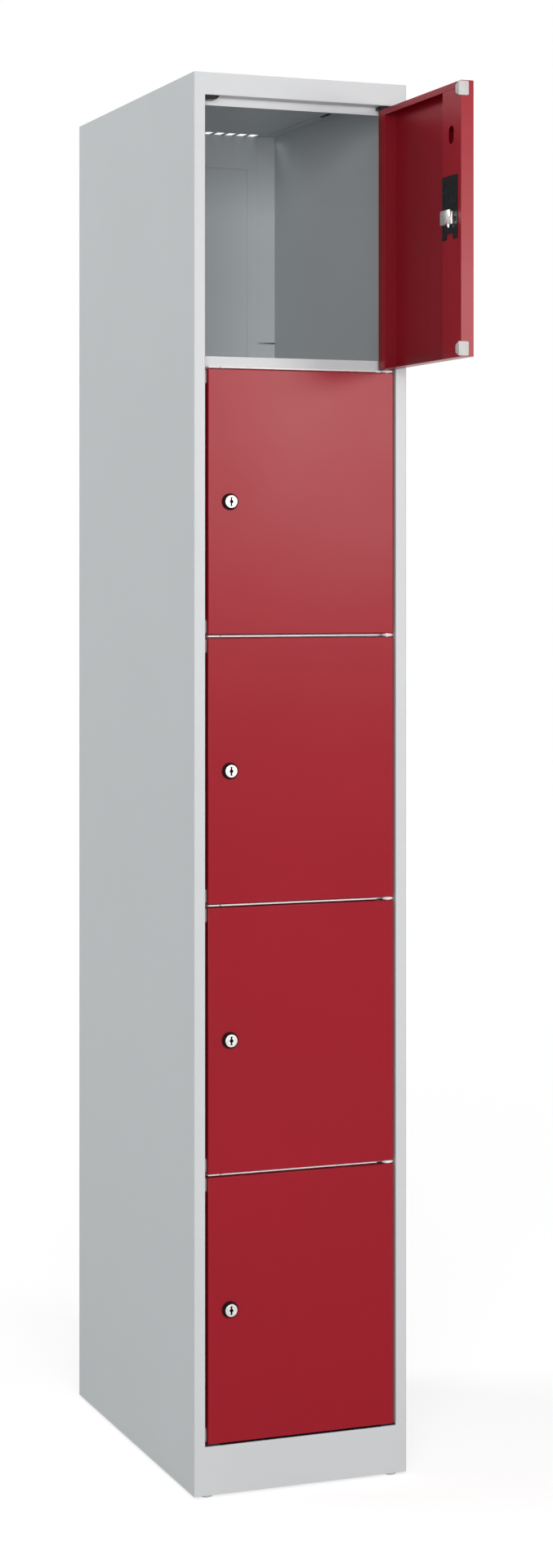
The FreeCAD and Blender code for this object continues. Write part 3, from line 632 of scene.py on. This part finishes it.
def rows_tree():
    """Geometry nodes that repeat a piece along two steps, in rows, and give it its material."""
    tree, given, result = new_group("Rows", "GeometryNodeTree", ROW_SOCKETS)

    def line(count, step):
        inputs = {"Count": given[count], "Offset": given[step]}
        return add_node(tree, "GeometryNodeMeshLine", {"mode": "OFFSET"}, inputs).outputs["Mesh"]

    def copies(points, piece):
        inputs = {"Points": points, "Instance": piece}
        instances = add_node(tree, "GeometryNodeInstanceOnPoints", inputs=inputs).outputs["Instances"]
        real = add_node(tree, "GeometryNodeRealizeInstances", inputs={"Geometry": instances})
        return real.outputs["Geometry"]

    places = copies(line("Rows", "Row step"), line("Count", "Step"))
    inputs = {"Geometry": copies(places, given["Geometry"]), "Material": given["Material"]}
    finished = add_node(tree, "GeometryNodeSetMaterial", inputs=inputs).outputs["Geometry"]
    tree.links.new(finished, result["Geometry"])
    return tree


def repeat(piece, count, step, rows=1, row_step=(0.0, 0.0, 0.0)):
    """Repeats a piece in rows with the geometry nodes, as one plain mesh."""
    tree = bpy.data.node_groups.get("Rows") or rows_tree()
    sockets = {item.name: item.identifier for item in tree.interface.items_tree if item.in_out == "INPUT"}
    modifier = piece.modifiers.new("Rows", "NODES")
    modifier.node_group = tree
    values = {"Count": count, "Step": step, "Rows": rows, "Row step": row_step}
    for label, value in {**values, "Material": piece.data.materials[0]}.items():
        modifier[sockets[label]] = value
    apply_modifiers(piece)


def settle(piece, body, slot, *nodes):
    """Puts a finished piece on its body and hides the nodes that it stands for."""
    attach(piece, body)
    if nodes:
        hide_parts(*nodes)


def settle_on_door(piece, number, body, slot, *nodes):
    """Swings a piece that was made on a closed door to where its door is, and settles it there."""
    piece.data.transform(door_place(number))
    settle(piece, body, slot, *nodes)


def paint(node, material):
    """Gives a node of the frame its finish."""
    piece = frame["nodes"][node]
    if not piece.material_slots:
        piece.data.materials.append(None)
    for slot in piece.material_slots:
        slot.material = finish(material)


def gap_pitch():
    """The step from one door gap down to the next."""
    upper, lower = DOORS[:2]
    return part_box(f"door_{lower}_pan")[0].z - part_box(f"door_{upper}_pan")[0].z


def gap_middle():
    """The height of the middle of the top gap between two doors."""
    upper, lower = DOORS[:2]
    return (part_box(f"door_{upper}_pan")[0].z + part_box(f"door_{lower}_pan")[1].z) / 2


# Operators

class LOCKER_OT_finishes(bpy.types.Operator):
    """Makes the paints, plastics and metals that the pieces are finished with."""

    bl_idname = "locker.finishes"
    bl_label = "Finishes"

    def execute(self, context):
        finishes = context.scene.locker_finishes
        for group, width, height, family in (
            (powder_coat_group(), finishes.peel_size, finishes.peel_height, PAINTS),
            (moulded_grain_group(), finishes.grain_size, finishes.grain_height, PLASTICS),
            (plated_metal_group(), finishes.polish_size, finishes.polish_height, METALS),
        ):
            for name, (roughness, constants) in family.items():
                tint = getattr(finishes, name)
                surface_material(name, group, tint, roughness, width, height, constants)
        return {"FINISHED"}


class LOCKER_OT_carcass(bpy.types.Operator):
    """Paints the carcass sheets and marks the spot welds on the back."""

    bl_idname = "locker.carcass"
    bl_label = "Carcass"

    def execute(self, context):
        for sheet in SHEETS:
            paint(sheet, "carcass_paint")
        fittings = context.scene.locker_fittings
        low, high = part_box("back_panel")
        left = low.x + fittings.weld_inset
        bottom = low.z + fittings.weld_margin
        radius, crest = fittings.weld_radius, fittings.weld_crest
        rise, dimple = fittings.weld_rise, fittings.weld_dimple
        dome = [(0.0, -rise), (radius, -rise), (radius, 0.0), (crest, rise), (0.0, dimple)]
        bm = bmesh.new()
        turned(bm, dome, (left, high.y, bottom), (0, 1, 0), steps=20)
        welds = make_piece("back_spot_welds", bm, "carcass_paint")
        upwards = (high.z - low.z - 2 * fittings.weld_margin) / (fittings.weld_count - 1)
        across = high.x - low.x - 2 * fittings.weld_inset
        repeat(welds, fittings.weld_count, (0.0, 0.0, upwards), 2, (across, 0.0, 0.0))
        settle(welds, "carcass", "carcass_paint")
        return {"FINISHED"}


class LOCKER_OT_corner_welds(bpy.types.Operator):
    """Makes the ground welds that close the joints of header and plinth with the stiles."""

    bl_idname = "locker.corner_welds"
    bl_label = "Corner welds"

    def execute(self, context):
        bend = context.scene.locker_fittings.carcass_bend
        low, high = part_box("plinth_panel")
        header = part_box("frame_inserts")[1].z
        top = CAD_BOX[1].z
        front, rear = low.y, low.y + bend
        plinth_side = [(rear, low.z), (front, low.z)] + arc((rear, high.z - bend), bend, 180, 90, steps=6)
        header_side = [(rear, top), (front, top)] + arc((rear, header + bend), bend, 180, 270, steps=6)
        bm = bmesh.new()
        for outline in (plinth_side, header_side):
            for start, end in ((low.x - bend, low.x), (high.x, high.x + bend)):
                prism(bm, outline, "X", start, end)
        welds = make_piece("frame_corner_welds", bm, "carcass_paint")
        settle(welds, "carcass", "carcass_paint")
        return {"FINISHED"}


class LOCKER_OT_plinth_seal(bpy.types.Operator):
    """Makes the thin black strip on the plinth, under the lowest door, that paints the shadow in the gap
    there.
    """

    bl_idname = "locker.plinth_seal"
    bl_label = "Plinth seal"

    def execute(self, context):
        fittings = context.scene.locker_fittings
        low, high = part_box("plinth_panel")
        half = high.x - fittings.insert_length
        bm = bmesh.new()
        # A black strip on the ledge, as painted shadow in the gap under the lowest door
        painted_shadow = block(
            bm, (-half, low.y + fittings.carcass_bend, high.z), (half, high.y, high.z + fittings.seal_height)
        )
        round_edges(bm, painted_shadow, fittings.seal_round)
        piece = make_piece("plinth_shadow_strip", bm, "black_plastic")
        settle(piece, "carcass", "black_plastic")
        return {"FINISHED"}


class LOCKER_OT_doors(bpy.types.Operator):
    """Folds the door pans, closes the fold along each hinge edge and paints the lock channels."""

    bl_idname = "locker.doors"
    bl_label = "Doors"

    def execute(self, context):
        fittings = context.scene.locker_fittings
        low, high = door_box("door_{}_pan")
        for number in DOORS:
            paint(f"door_{number}_lock_channel", "door_paint")
            pan = self.make_pan(fittings, f"door_{number}_folded_pan", low, high)
            fold = self.make_fold(fittings, f"door_{number}_hinge_fold", low, high)
            settle_on_door(pan, number, f"door_{number}", "door_paint", f"door_{number}_pan")
            settle_on_door(fold, number, f"door_{number}", "door_paint")
        return {"FINISHED"}

    def make_pan(self, fittings, name, low, high):
        """A pan open at the rear, with holes, upper lip, hinge return and the foot of the lock channel."""
        gauge = fittings.door_gauge
        bm = bmesh.new()
        front = [vert for vert in block(bm, low, high) if vert.co.y - low.y < WELD_DISTANCE]
        bends = [edge for edge in bm.edges if all(vert in front for vert in edge.verts)]
        bevel(bm, bends, fittings.door_bend, BEND_SEGMENTS)
        pan = make_piece(name, bm, "door_paint")
        sheet = Vector((gauge, gauge, gauge))
        hollow = bmesh.new()
        block(hollow, low + sheet, (high.x - gauge, high.y + gauge, high.z - gauge))
        x, z = lock_axis()
        bezel_low, bezel_high = door_box("door_{}_lock_housing")
        barrel = (bezel_high.x - bezel_low.x) / 2 - fittings.barrel_step + fittings.barrel_play
        bore = bmesh.new()
        turned(bore, rectangle(0.0, -gauge, barrel, 2 * gauge), (x, low.y, z), (0, 1, 0))
        pins = bmesh.new()
        reach = fittings.pin_radius + fittings.pin_play
        turned(pins, rectangle(0.0, low.z - gauge, reach, high.z + gauge), (0, 0, 0), (0, 0, 1))
        for tool in (hollow, bore, pins):
            combine(pan, make_piece("door_cut", tool, "door_paint"), "DIFFERENCE")
        half = gauge / 2
        left, right = low.x + half, high.x - half
        bottom, top = low.z + half, high.z - half
        lip_edge = high.z - fittings.door_lip
        seam = high.x - fittings.seam_inset
        for plate in (
            rectangle(left, lip_edge, seam - fittings.lip_seam, top),
            rectangle(seam, lip_edge, right, top),
            rectangle(high.x - fittings.hinge_return, bottom, right, lip_edge + half),
            rectangle(left, bottom, low.x + fittings.channel_width, low.z + fittings.door_lip),
        ):
            flange = bmesh.new()
            prism(flange, plate, "Y", high.y - gauge, high.y)
            combine(pan, make_piece("door_flange", flange, "door_paint"), "UNION")
        for polygon in pan.data.polygons:
            polygon.use_smooth = max(map(abs, polygon.normal)) < FLAT_SHEET
        return pan

    def make_fold(self, fittings, name, low, high):
        """The sheet that runs from the hinge return back to the front of the door."""
        gauge = fittings.door_gauge
        left = high.x - fittings.hinge_return
        bm = bmesh.new()
        block(bm, (left, low.y + gauge, low.z + gauge), (left + gauge, high.y - gauge, high.z - gauge))
        # The fold's red is darkened to paint shade on it
        return make_piece(name, bm, "fold_shade_paint")


class LOCKER_OT_gap_strips(bpy.types.Operator):
    """Makes the white strips and end stops in the gaps between the doors."""

    bl_idname = "locker.gap_strips"
    bl_label = "Gap strips"

    def execute(self, context):
        fittings = context.scene.locker_fittings
        low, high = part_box("gap_strips")
        middle = gap_middle()
        half = fittings.arm_thickness / 2
        nose = arc((low.y - fittings.strip_lead + half, middle), half, 90, 270, steps=8)
        outline = nose + [(high.y, middle - half), (high.y, middle + half)]
        stop_end = low.x + fittings.stop_length
        bm = bmesh.new()
        for start, end in ((low.x, stop_end), (stop_end + fittings.strip_gap, high.x)):
            round_edges(bm, prism(bm, outline, "X", start, end), fittings.strip_round)
        strips = make_piece("gap_strips_moulded", bm, "white_plastic")
        repeat(strips, len(DOORS) - 1, (0.0, 0.0, gap_pitch()))
        settle(strips, "carcass", "white_plastic", "gap_strips")
        return {"FINISHED"}


class LOCKER_OT_hinge_bearings(bpy.types.Operator):
    """Makes the lens-shaped pivot bearings with their arms, one in each gap."""

    bl_idname = "locker.hinge_bearings"
    bl_label = "Hinge bearings"

    def execute(self, context):
        fittings = context.scene.locker_fittings
        low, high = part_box("hinge_bearings")
        x, y, _ = JOINTS[f"door_{CLOSED_DOOR}_hinge"]["pos_m"]
        middle = gap_middle()
        radius = y - low.y
        half = (high.z - low.z + gap_pitch() * (len(DOORS) - 2)) / 2
        land = BEARING_LAND * radius
        profile = [
            (fittings.pin_radius, -half),
            (fittings.bearing_rim, -half),
            (radius, -land),
            (radius, land),
            (fittings.bearing_rim, half),
            (fittings.pin_radius, half),
        ]
        bm = bmesh.new()
        turned(bm, profile, (x, y, middle), (0, 0, 1))
        lens = make_piece("hinge_bearings_moulded", bm, "white_plastic")
        thickness = fittings.arm_thickness / 2
        inner = x - fittings.pin_radius - fittings.edge_round
        arm_low = (low.x, y + fittings.arm_setback, middle - thickness)
        arm_high = (inner, high.y, middle + thickness)
        arm = bmesh.new()
        round_edges(arm, block(arm, arm_low, arm_high), fittings.strip_round)
        combine(lens, make_piece("bearing_arm", arm, "white_plastic"), "UNION")
        repeat(lens, len(DOORS) - 1, (0.0, 0.0, gap_pitch()))
        settle(lens, "carcass", "white_plastic", "hinge_bearings")
        return {"FINISHED"}


class LOCKER_OT_frame_inserts(bpy.types.Operator):
    """Makes the black corner inserts under the header and on the plinth, with slanted inner ends."""

    bl_idname = "locker.frame_inserts"
    bl_label = "Frame inserts"

    def execute(self, context):
        fittings = context.scene.locker_fittings
        low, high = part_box("frame_inserts")
        top_gap = high.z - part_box(f"door_{DOORS[0]}_pan")[1].z - fittings.insert_play
        bottom_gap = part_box(f"door_{DOORS[-1]}_pan")[0].z - low.z - fittings.insert_play
        bm = bmesh.new()
        for side in (-1, 1):
            outer = side * high.x
            inner = outer - side * fittings.insert_length
            for seat, free in ((high.z, high.z - top_gap), (low.z, low.z + bottom_gap)):
                slanted = side < 0 or seat == low.z
                land = math.copysign(fittings.insert_land, free - seat)
                slant = side * (abs(free - seat) - fittings.insert_land)
                end = [(inner + slant, free), (inner, seat + land)] if slanted else [(inner, free)]
                outline = [(outer, seat), (outer, free), *end, (inner, seat)]
                round_edges(bm, prism(bm, outline, "Y", low.y, high.y), fittings.insert_round)
        inserts = make_piece("frame_inserts_moulded", bm, "black_plastic")
        settle(inserts, "carcass", "black_plastic", "frame_inserts")
        return {"FINISHED"}


class LOCKER_OT_hinge_metal(bpy.types.Operator):
    """Finishes the pivot pins and the blocks that run on them."""

    bl_idname = "locker.hinge_metal"
    bl_label = "Hinge pins and blocks"

    def execute(self, context):
        paint("hinge_pins", "zinc_steel")
        for number in DOORS:
            paint(f"door_{number}_pivot_blocks", "door_paint")
        return {"FINISHED"}


class LOCKER_OT_feet(bpy.types.Operator):
    """Makes the glides under the four corners."""

    bl_idname = "locker.feet"
    bl_label = "Feet"

    def execute(self, context):
        fittings = context.scene.locker_fittings
        low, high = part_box("feet")
        mounts = {mount["name"]: mount["pos_m"] for mount in frame["record"]["mounts"]}
        near = Vector(mounts["front_left_foot"])
        far = Vector(mounts["rear_right_foot"])
        radius = near.x - low.x
        rise, stud, rim = fittings.foot_height, fittings.stud_radius, fittings.foot_round
        chamfer = rim / 2
        profile = [(0.0, 0.0), (radius - 2 * rim, 0.0)]
        profile += arc((radius - rim, rim), rim, -90, 0, steps=4)
        profile += [(radius - chamfer, rise), (stud, rise)]
        profile += [(stud, high.z - chamfer), (stud - chamfer, high.z), (0.0, high.z)]
        bm = bmesh.new()
        turned(bm, profile, (near.x, near.y, low.z), (0, 0, 1), steps=40)
        feet = make_piece("feet_moulded", bm, "foot_plastic")
        repeat(feet, 2, (far.x - near.x, 0.0, 0.0), 2, (0.0, far.y - near.y, 0.0))
        settle(feet, "carcass", "foot_plastic", "feet")
        return {"FINISHED"}


class LOCKER_OT_lid_clips(bpy.types.Operator):
    """Makes the small black clips under the side folds of the lid."""

    bl_idname = "locker.lid_clips"
    bl_label = "Lid clips"

    def execute(self, context):
        fittings = context.scene.locker_fittings
        _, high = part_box("top_panel")
        top = high.z - fittings.lid_gauge
        bm = bmesh.new()
        for side in (-1, 1):
            middle = side * (high.x - fittings.clip_inset)
            left = middle - fittings.clip_width / 2
            corner = Vector((left, fittings.clip_start, top - fittings.clip_thickness))
            reach = Vector((fittings.clip_width, fittings.clip_length, fittings.clip_thickness))
            round_edges(bm, block(bm, corner, corner + reach), fittings.edge_round)
        clips = make_piece("lid_clips", bm, "black_plastic")
        settle(clips, "carcass", "black_plastic")
        return {"FINISHED"}


class LOCKER_OT_buffers(bpy.types.Operator):
    """Makes the pale corner buffers around the free edge of each door."""

    bl_idname = "locker.buffers"
    bl_label = "Buffers"

    def execute(self, context):
        fittings = context.scene.locker_fittings
        low, high = door_box("door_{}_buffers")
        for number in DOORS:
            bm = bmesh.new()
            for bottom in (low.z, high.z - fittings.buffer_height):
                self.add_buffer(bm, fittings, low, high, bottom)
            buffers = make_piece(f"door_{number}_buffers_moulded", bm, "buffer_plastic")
            settle_on_door(buffers, number, f"door_{number}", "buffer_plastic", f"door_{number}_buffers")
        return {"FINISHED"}

    def add_buffer(self, bm, fittings, low, high, bottom):
        """A wall around the door's edge, with a pad behind the door that narrows inwards."""
        edge = low.x + fittings.buffer_edge
        rear = low.y + fittings.buffer_wrap
        wall = [(low.x, low.y), (edge, low.y), (edge, rear), (edge, high.y), (low.x, high.y)]
        pad_end = [(high.x, rear), (high.x, high.y)]
        ends = []
        for height, inwards in ((bottom, 1), (bottom + fittings.buffer_height, -1)):
            tip = height + inwards * fittings.buffer_taper
            wall_verts = [bm.verts.new((x, y, height)) for x, y in wall]
            pad_verts = [bm.verts.new((x, y, tip)) for x, y in pad_end]
            front_left, front_right, notch, rear_right, rear_left = wall_verts
            bm.faces.new(wall_verts)
            bm.faces.new((notch, *pad_verts, rear_right))
            ends.append((front_left, front_right, notch, *pad_verts, rear_right, rear_left))
        bridge(bm, *ends)
        shell = [vert for end in ends for vert in end]
        face_outwards(bm, shell)
        corners = [bm.edges.get((front_left, front_right)) for front_left, front_right, *_ in ends]
        cut = bevel(bm, corners, fittings.buffer_corner, BEND_SEGMENTS)
        shell = [vert for vert in shell if vert.is_valid] + cut["verts"]
        round_edges(bm, shell, fittings.edge_round)


class LOCKER_OT_lock_cases(bpy.types.Operator):
    """Finishes the lock cases."""

    bl_idname = "locker.lock_cases"
    bl_label = "Lock cases"

    def execute(self, context):
        for number in DOORS:
            paint(f"door_{number}_lock_case", "black_plastic")
        return {"FINISHED"}


class LOCKER_OT_lock_housings(bpy.types.Operator):
    """Turns the black lock bezels with their barrels."""

    bl_idname = "locker.lock_housings"
    bl_label = "Lock housings"

    def execute(self, context):
        fittings = context.scene.locker_fittings
        low, high = door_box("door_{}_lock_housing")
        x, z = lock_axis()
        radius = (high.x - low.x) / 2
        bore = fittings.plug_radius + fittings.plug_play
        barrel = radius - fittings.barrel_step
        depth = high.y - low.y
        seat = fittings.bezel_height
        rounding = fittings.bezel_round
        profile = [(bore, depth), (bore, fittings.bezel_chamfer), (bore + fittings.bezel_chamfer, 0.0)]
        profile += arc((fittings.bezel_rim - rounding, rounding), rounding, -90, 0, steps=6)
        profile += [(radius, fittings.bezel_flank), (radius, seat), (barrel, seat), (barrel, depth)]
        for number in DOORS:
            bm = bmesh.new()
            turned(bm, profile, (x, low.y, z), (0, 1, 0))
            housing = make_piece(f"door_{number}_lock_bezel", bm, "black_plastic")
            node = f"door_{number}_lock_housing"
            settle_on_door(housing, number, f"door_{number}", "black_plastic", node)
        return {"FINISHED"}


class LOCKER_OT_lock_plugs(bpy.types.Operator):
    """Makes the nickel lock plugs with their ring groove and keyway, and finishes the cranks."""

    bl_idname = "locker.lock_plugs"
    bl_label = "Lock plugs"

    def execute(self, context):
        for number in DOORS:
            paint(f"lock_{number}_crank", "zinc_steel")
            plug = self.make_plug(context.scene.locker_fittings, f"lock_{number}_plug")
            settle_on_door(plug, number, f"lock_{number}", "nickel", f"lock_{number}_core")
        return {"FINISHED"}

    def make_plug(self, fittings, name):
        low, high = door_box("lock_{}_core")
        x, z = lock_axis()
        depth = high.y - low.y
        rear = depth - fittings.tail_length
        radius = fittings.plug_radius
        ring = fittings.ring_radius
        half_ring = fittings.ring_width / 2
        rounding = fittings.plug_round
        profile = [
            (0.0, 0.0),
            (ring - half_ring, 0.0),
            (ring, fittings.ring_depth),
            (ring + half_ring, 0.0),
        ]
        profile += arc((radius - rounding, rounding), rounding, -90, 0, steps=4)
        profile += [(radius, rear), (fittings.tail_radius, rear), (fittings.tail_radius, depth), (0.0, depth)]
        bm = bmesh.new()
        turned(bm, profile, (x, low.y, z), (0, 1, 0))
        plug = make_piece(name, bm, "plug_plate", "keyway_shadow")
        cutter = bmesh.new()
        outline = [(x + across, z + up) for across, up in self.keyway_outline(fittings)]
        prism(cutter, outline, "Y", low.y - fittings.edge_round, low.y + fittings.keyway_depth)
        combine(plug, make_piece("keyway", cutter, "keyway_shadow"), "DIFFERENCE")
        for face in plug.data.polygons:
            away = math.hypot(face.center.x - x, face.center.z - z)
            inside = away < ring and low.y + fittings.ring_depth < face.center.y < low.y + rear
            face.material_index = 1 if inside else 0
        return plug

    def keyway_outline(self, fittings):
        """A slot with square ends, slim necks and a blunt diamond in the middle."""
        half, post = fittings.keyway_half, fittings.keyway_post
        neck, end = fittings.keyway_neck, fittings.keyway_end
        blunt = fittings.keyway_blunt
        quarter = [(post, blunt), (post - blunt, 2 * blunt), (neck, post)]
        quarter += [(neck, half - end - fittings.keyway_flare), (end, half - end), (end, half)]
        right = quarter + [(-across, up) for across, up in reversed(quarter)]
        return right + [(-across, -up) for across, up in right]


class LOCKER_OT_bolts(bpy.types.Operator):
    """Makes the sliding bolts: hook plate, base, neck, slotted slider and tip."""

    bl_idname = "locker.bolts"
    bl_label = "Bolts"

    def execute(self, context):
        for number in DOORS:
            bolt = self.make_bolt(context.scene.locker_fittings, f"bolt_{number}_hook")
            settle_on_door(bolt, number, f"bolt_{number}", "nickel", f"lock_{number}_bolt")
        return {"FINISHED"}

    def make_bolt(self, fittings, name):
        low, high = door_box("lock_{}_bolt")
        lock_x, lock_z = lock_axis()
        left, rear = low.x, high.y
        bottom = low.z + fittings.bolt_tip
        hook_front = rear - fittings.hook_plate
        base_front = hook_front - fittings.base_plate
        groove = fittings.bolt_groove
        rounding = fittings.edge_round
        corner = fittings.hook_corner
        right = left + fittings.hook_length
        top = bottom + fittings.hook_height
        base_right = left + fittings.base_length
        base_top = bottom + fittings.base_height
        hook_outline = [(left + corner, bottom), (right, bottom), (right, top), (left, top)]
        hook_outline += [(left, bottom + fittings.hook_cut)]
        bm = bmesh.new()
        round_edges(bm, prism(bm, hook_outline, "Y", hook_front, rear), rounding)
        base = block(bm, (left, base_front, bottom), (base_right, hook_front - groove, base_top))
        round_edges(bm, base, fittings.base_round)
        inset = 2 * groove
        block(
            bm,
            (left + inset, hook_front - groove - rounding, bottom + inset),
            (base_right - inset, hook_front + rounding, base_top - inset),
        )
        tip, tip_top = fittings.tip_radius, fittings.bolt_tip + rounding
        taper = [(0.0, 0.0), (fittings.tip_flat, 0.0), (tip, fittings.tip_taper)]
        taper += [(tip, tip_top), (0.0, tip_top)]
        turned(bm, taper, (lock_x, base_front + tip, low.z), (0, 0, 1), steps=24)
        self.add_slider(bm, fittings, low, high, lock_z, base_front)
        return make_piece(name, bm, "nickel")

    def add_slider(self, bm, fittings, low, high, lock_z, base_front):
        """The neck through the case and the slotted slider that the crank moves."""
        web = fittings.slider_web
        slider_rear = low.y + fittings.slider_plate
        slider_right = high.x
        crank_x = lock_axis()[0] + JOINTS[f"bolt_{CLOSED_DOOR}_slide"]["range_m"][1] / 2
        slider_left = 2 * crank_x - slider_right
        outer = rectangle(slider_left, lock_z - fittings.slider_drop, slider_right, high.z)
        inner = rectangle(slider_left + web, lock_z + fittings.slot_rise, slider_right - web, high.z - web)
        holed_plate(bm, outer, inner, "Y", low.y, slider_rear)
        neck_bottom = lock_z - fittings.neck_drop
        inset = web / 2
        block(
            bm,
            (slider_left + inset, slider_rear - inset, neck_bottom),
            (slider_right - inset, base_front + inset, neck_bottom + fittings.neck_height),
        )


class LOCKER_OT_stage(bpy.types.Operator):
    """Makes the studio: floor, world, lights and camera."""

    bl_idname = "locker.stage"
    bl_label = "Stage"

    def execute(self, context):
        stage = context.scene.locker_stage
        context.scene.view_settings.view_transform = "Standard"
        self.make_world(context.scene, stage)
        self.make_floor(stage)
        target = (CAD_BOX[0] + CAD_BOX[1]) / 2
        key = self.make_light("Key softbox", stage.key_place, stage.key_size, stage.key_power, target)
        key.color = stage.key_tint[:3]
        self.make_light("Front softbox", stage.fill_place, stage.fill_size, stage.fill_power, target)
        self.make_light("Left softbox", stage.side_place, stage.side_size, stage.side_power, target)
        self.make_light("Overhead softbox", stage.top_place, stage.top_size, stage.top_power, target)
        self.make_camera(context.scene, stage)
        return {"FINISHED"}

    def seen(self, tree):
        """1 for the rays that show the background: straight, reflected or through glass."""
        rays = add_node(tree, "ShaderNodeLightPath").outputs
        shown = math_node(tree, "MAXIMUM", rays["Is Camera Ray"], rays["Is Glossy Ray"])
        return math_node(tree, "MAXIMUM", shown, rays["Is Transmission Ray"])

    def make_world(self, scene, stage):
        world = bpy.data.worlds.new("Studio")
        tree = empty_tree(world)
        strength = math_node(tree, "MULTIPLY_ADD", self.seen(tree), 1.0 - stage.ambient, stage.ambient)
        sky = add_node(tree, "ShaderNodeBackground", inputs={"Color": WHITE, "Strength": strength})
        add_node(tree, "ShaderNodeOutputWorld", inputs={"Surface": sky.outputs["Background"]})
        scene.world = world

    def make_floor(self, stage):
        material = bpy.data.materials.new("studio_floor")
        tree = empty_tree(material)
        matt = add_node(tree, "ShaderNodeBsdfDiffuse", inputs={"Color": stage.floor_paint}).outputs["BSDF"]
        place = add_node(tree, "ShaderNodeTexCoord").outputs["Object"]
        distance = vector_node(tree, "LENGTH", {0: place})["Value"]
        added = spread(tree, distance, stage.floor_glow, stage.far_glow, stage.glow_near, stage.glow_far)
        strength = math_node(tree, "MULTIPLY", self.seen(tree), added)
        inputs = {"Color": WHITE, "Strength": strength}
        glow = add_node(tree, "ShaderNodeEmission", inputs=inputs).outputs["Emission"]
        both = add_node(tree, "ShaderNodeAddShader", inputs={0: matt, 1: glow}).outputs["Shader"]
        add_node(tree, "ShaderNodeOutputMaterial", inputs={"Surface": both})
        half = stage.floor_side / 2
        corners = [(x, y, 0.0) for x, y in rectangle(-half, -half, half, half)]
        mesh = bpy.data.meshes.new("studio_floor")
        mesh.from_pydata(corners, [], [range(len(corners))])
        mesh.materials.append(material)
        floor = add_object("studio_floor", mesh)

    def make_light(self, name, place, size, power, target):
        lamp = bpy.data.lights.new(name, "AREA")
        lamp.shape = "RECTANGLE"
        lamp.size, lamp.size_y = size
        lamp.energy = power
        light = add_object(name, lamp)
        light.location = place
        light.rotation_mode = "QUATERNION"
        light.rotation_quaternion = (target - Vector(place)).to_track_quat("-Z", "Y")
        light.visible_camera = False
        return lamp

    def make_camera(self, scene, stage):
        lens = bpy.data.cameras.new("Camera")
        lens.lens = lens.sensor_width * stage.focal_pixels / stage.image_height
        lens.shift_y = (stage.horizon_row - stage.image_height / 2) / stage.image_height
        camera = add_object("Camera", lens)
        camera.location = stage.camera_place
        camera.rotation_euler = (math.pi / 2, 0.0, -stage.camera_turn)
        scene.camera = camera


OPERATORS = (
    LOCKER_OT_finishes,
    LOCKER_OT_carcass,
    LOCKER_OT_corner_welds,
    LOCKER_OT_plinth_seal,
    LOCKER_OT_doors,
    LOCKER_OT_gap_strips,
    LOCKER_OT_hinge_bearings,
    LOCKER_OT_frame_inserts,
    LOCKER_OT_hinge_metal,
    LOCKER_OT_feet,
    LOCKER_OT_lid_clips,
    LOCKER_OT_buffers,
    LOCKER_OT_lock_cases,
    LOCKER_OT_lock_housings,
    LOCKER_OT_lock_plugs,
    LOCKER_OT_bolts,
    LOCKER_OT_stage,
)


class LOCKER_PT_sidebar(bpy.types.Panel):
    """Lists the locker's operators."""

    bl_idname = "LOCKER_PT_sidebar"
    bl_label = "Compartment locker"
    bl_space_type = "VIEW_3D"
    bl_region_type = "UI"
    bl_category = "Locker"

    def draw(self, context):
        for operator in OPERATORS:
            self.layout.operator(operator.bl_idname)


SETTINGS = {
    "locker_finishes": LockerFinishes,
    "locker_fittings": LockerFittings,
    "locker_stage": LockerStage,
}


def register():
    for cls in (*SETTINGS.values(), *OPERATORS, LOCKER_PT_sidebar):
        bpy.utils.register_class(cls)
    for name, settings in SETTINGS.items():
        setattr(bpy.types.Scene, name, PointerProperty(type=settings))


def unregister():
    for name in SETTINGS:
        delattr(bpy.types.Scene, name)
    for cls in reversed((*SETTINGS.values(), *OPERATORS, LOCKER_PT_sidebar)):
        bpy.utils.unregister_class(cls)


def main():
    register()
    for operator in OPERATORS:
        getattr(bpy.ops.locker, operator.bl_idname.split(".")[1])()


if __name__ == "__main__":
    main()
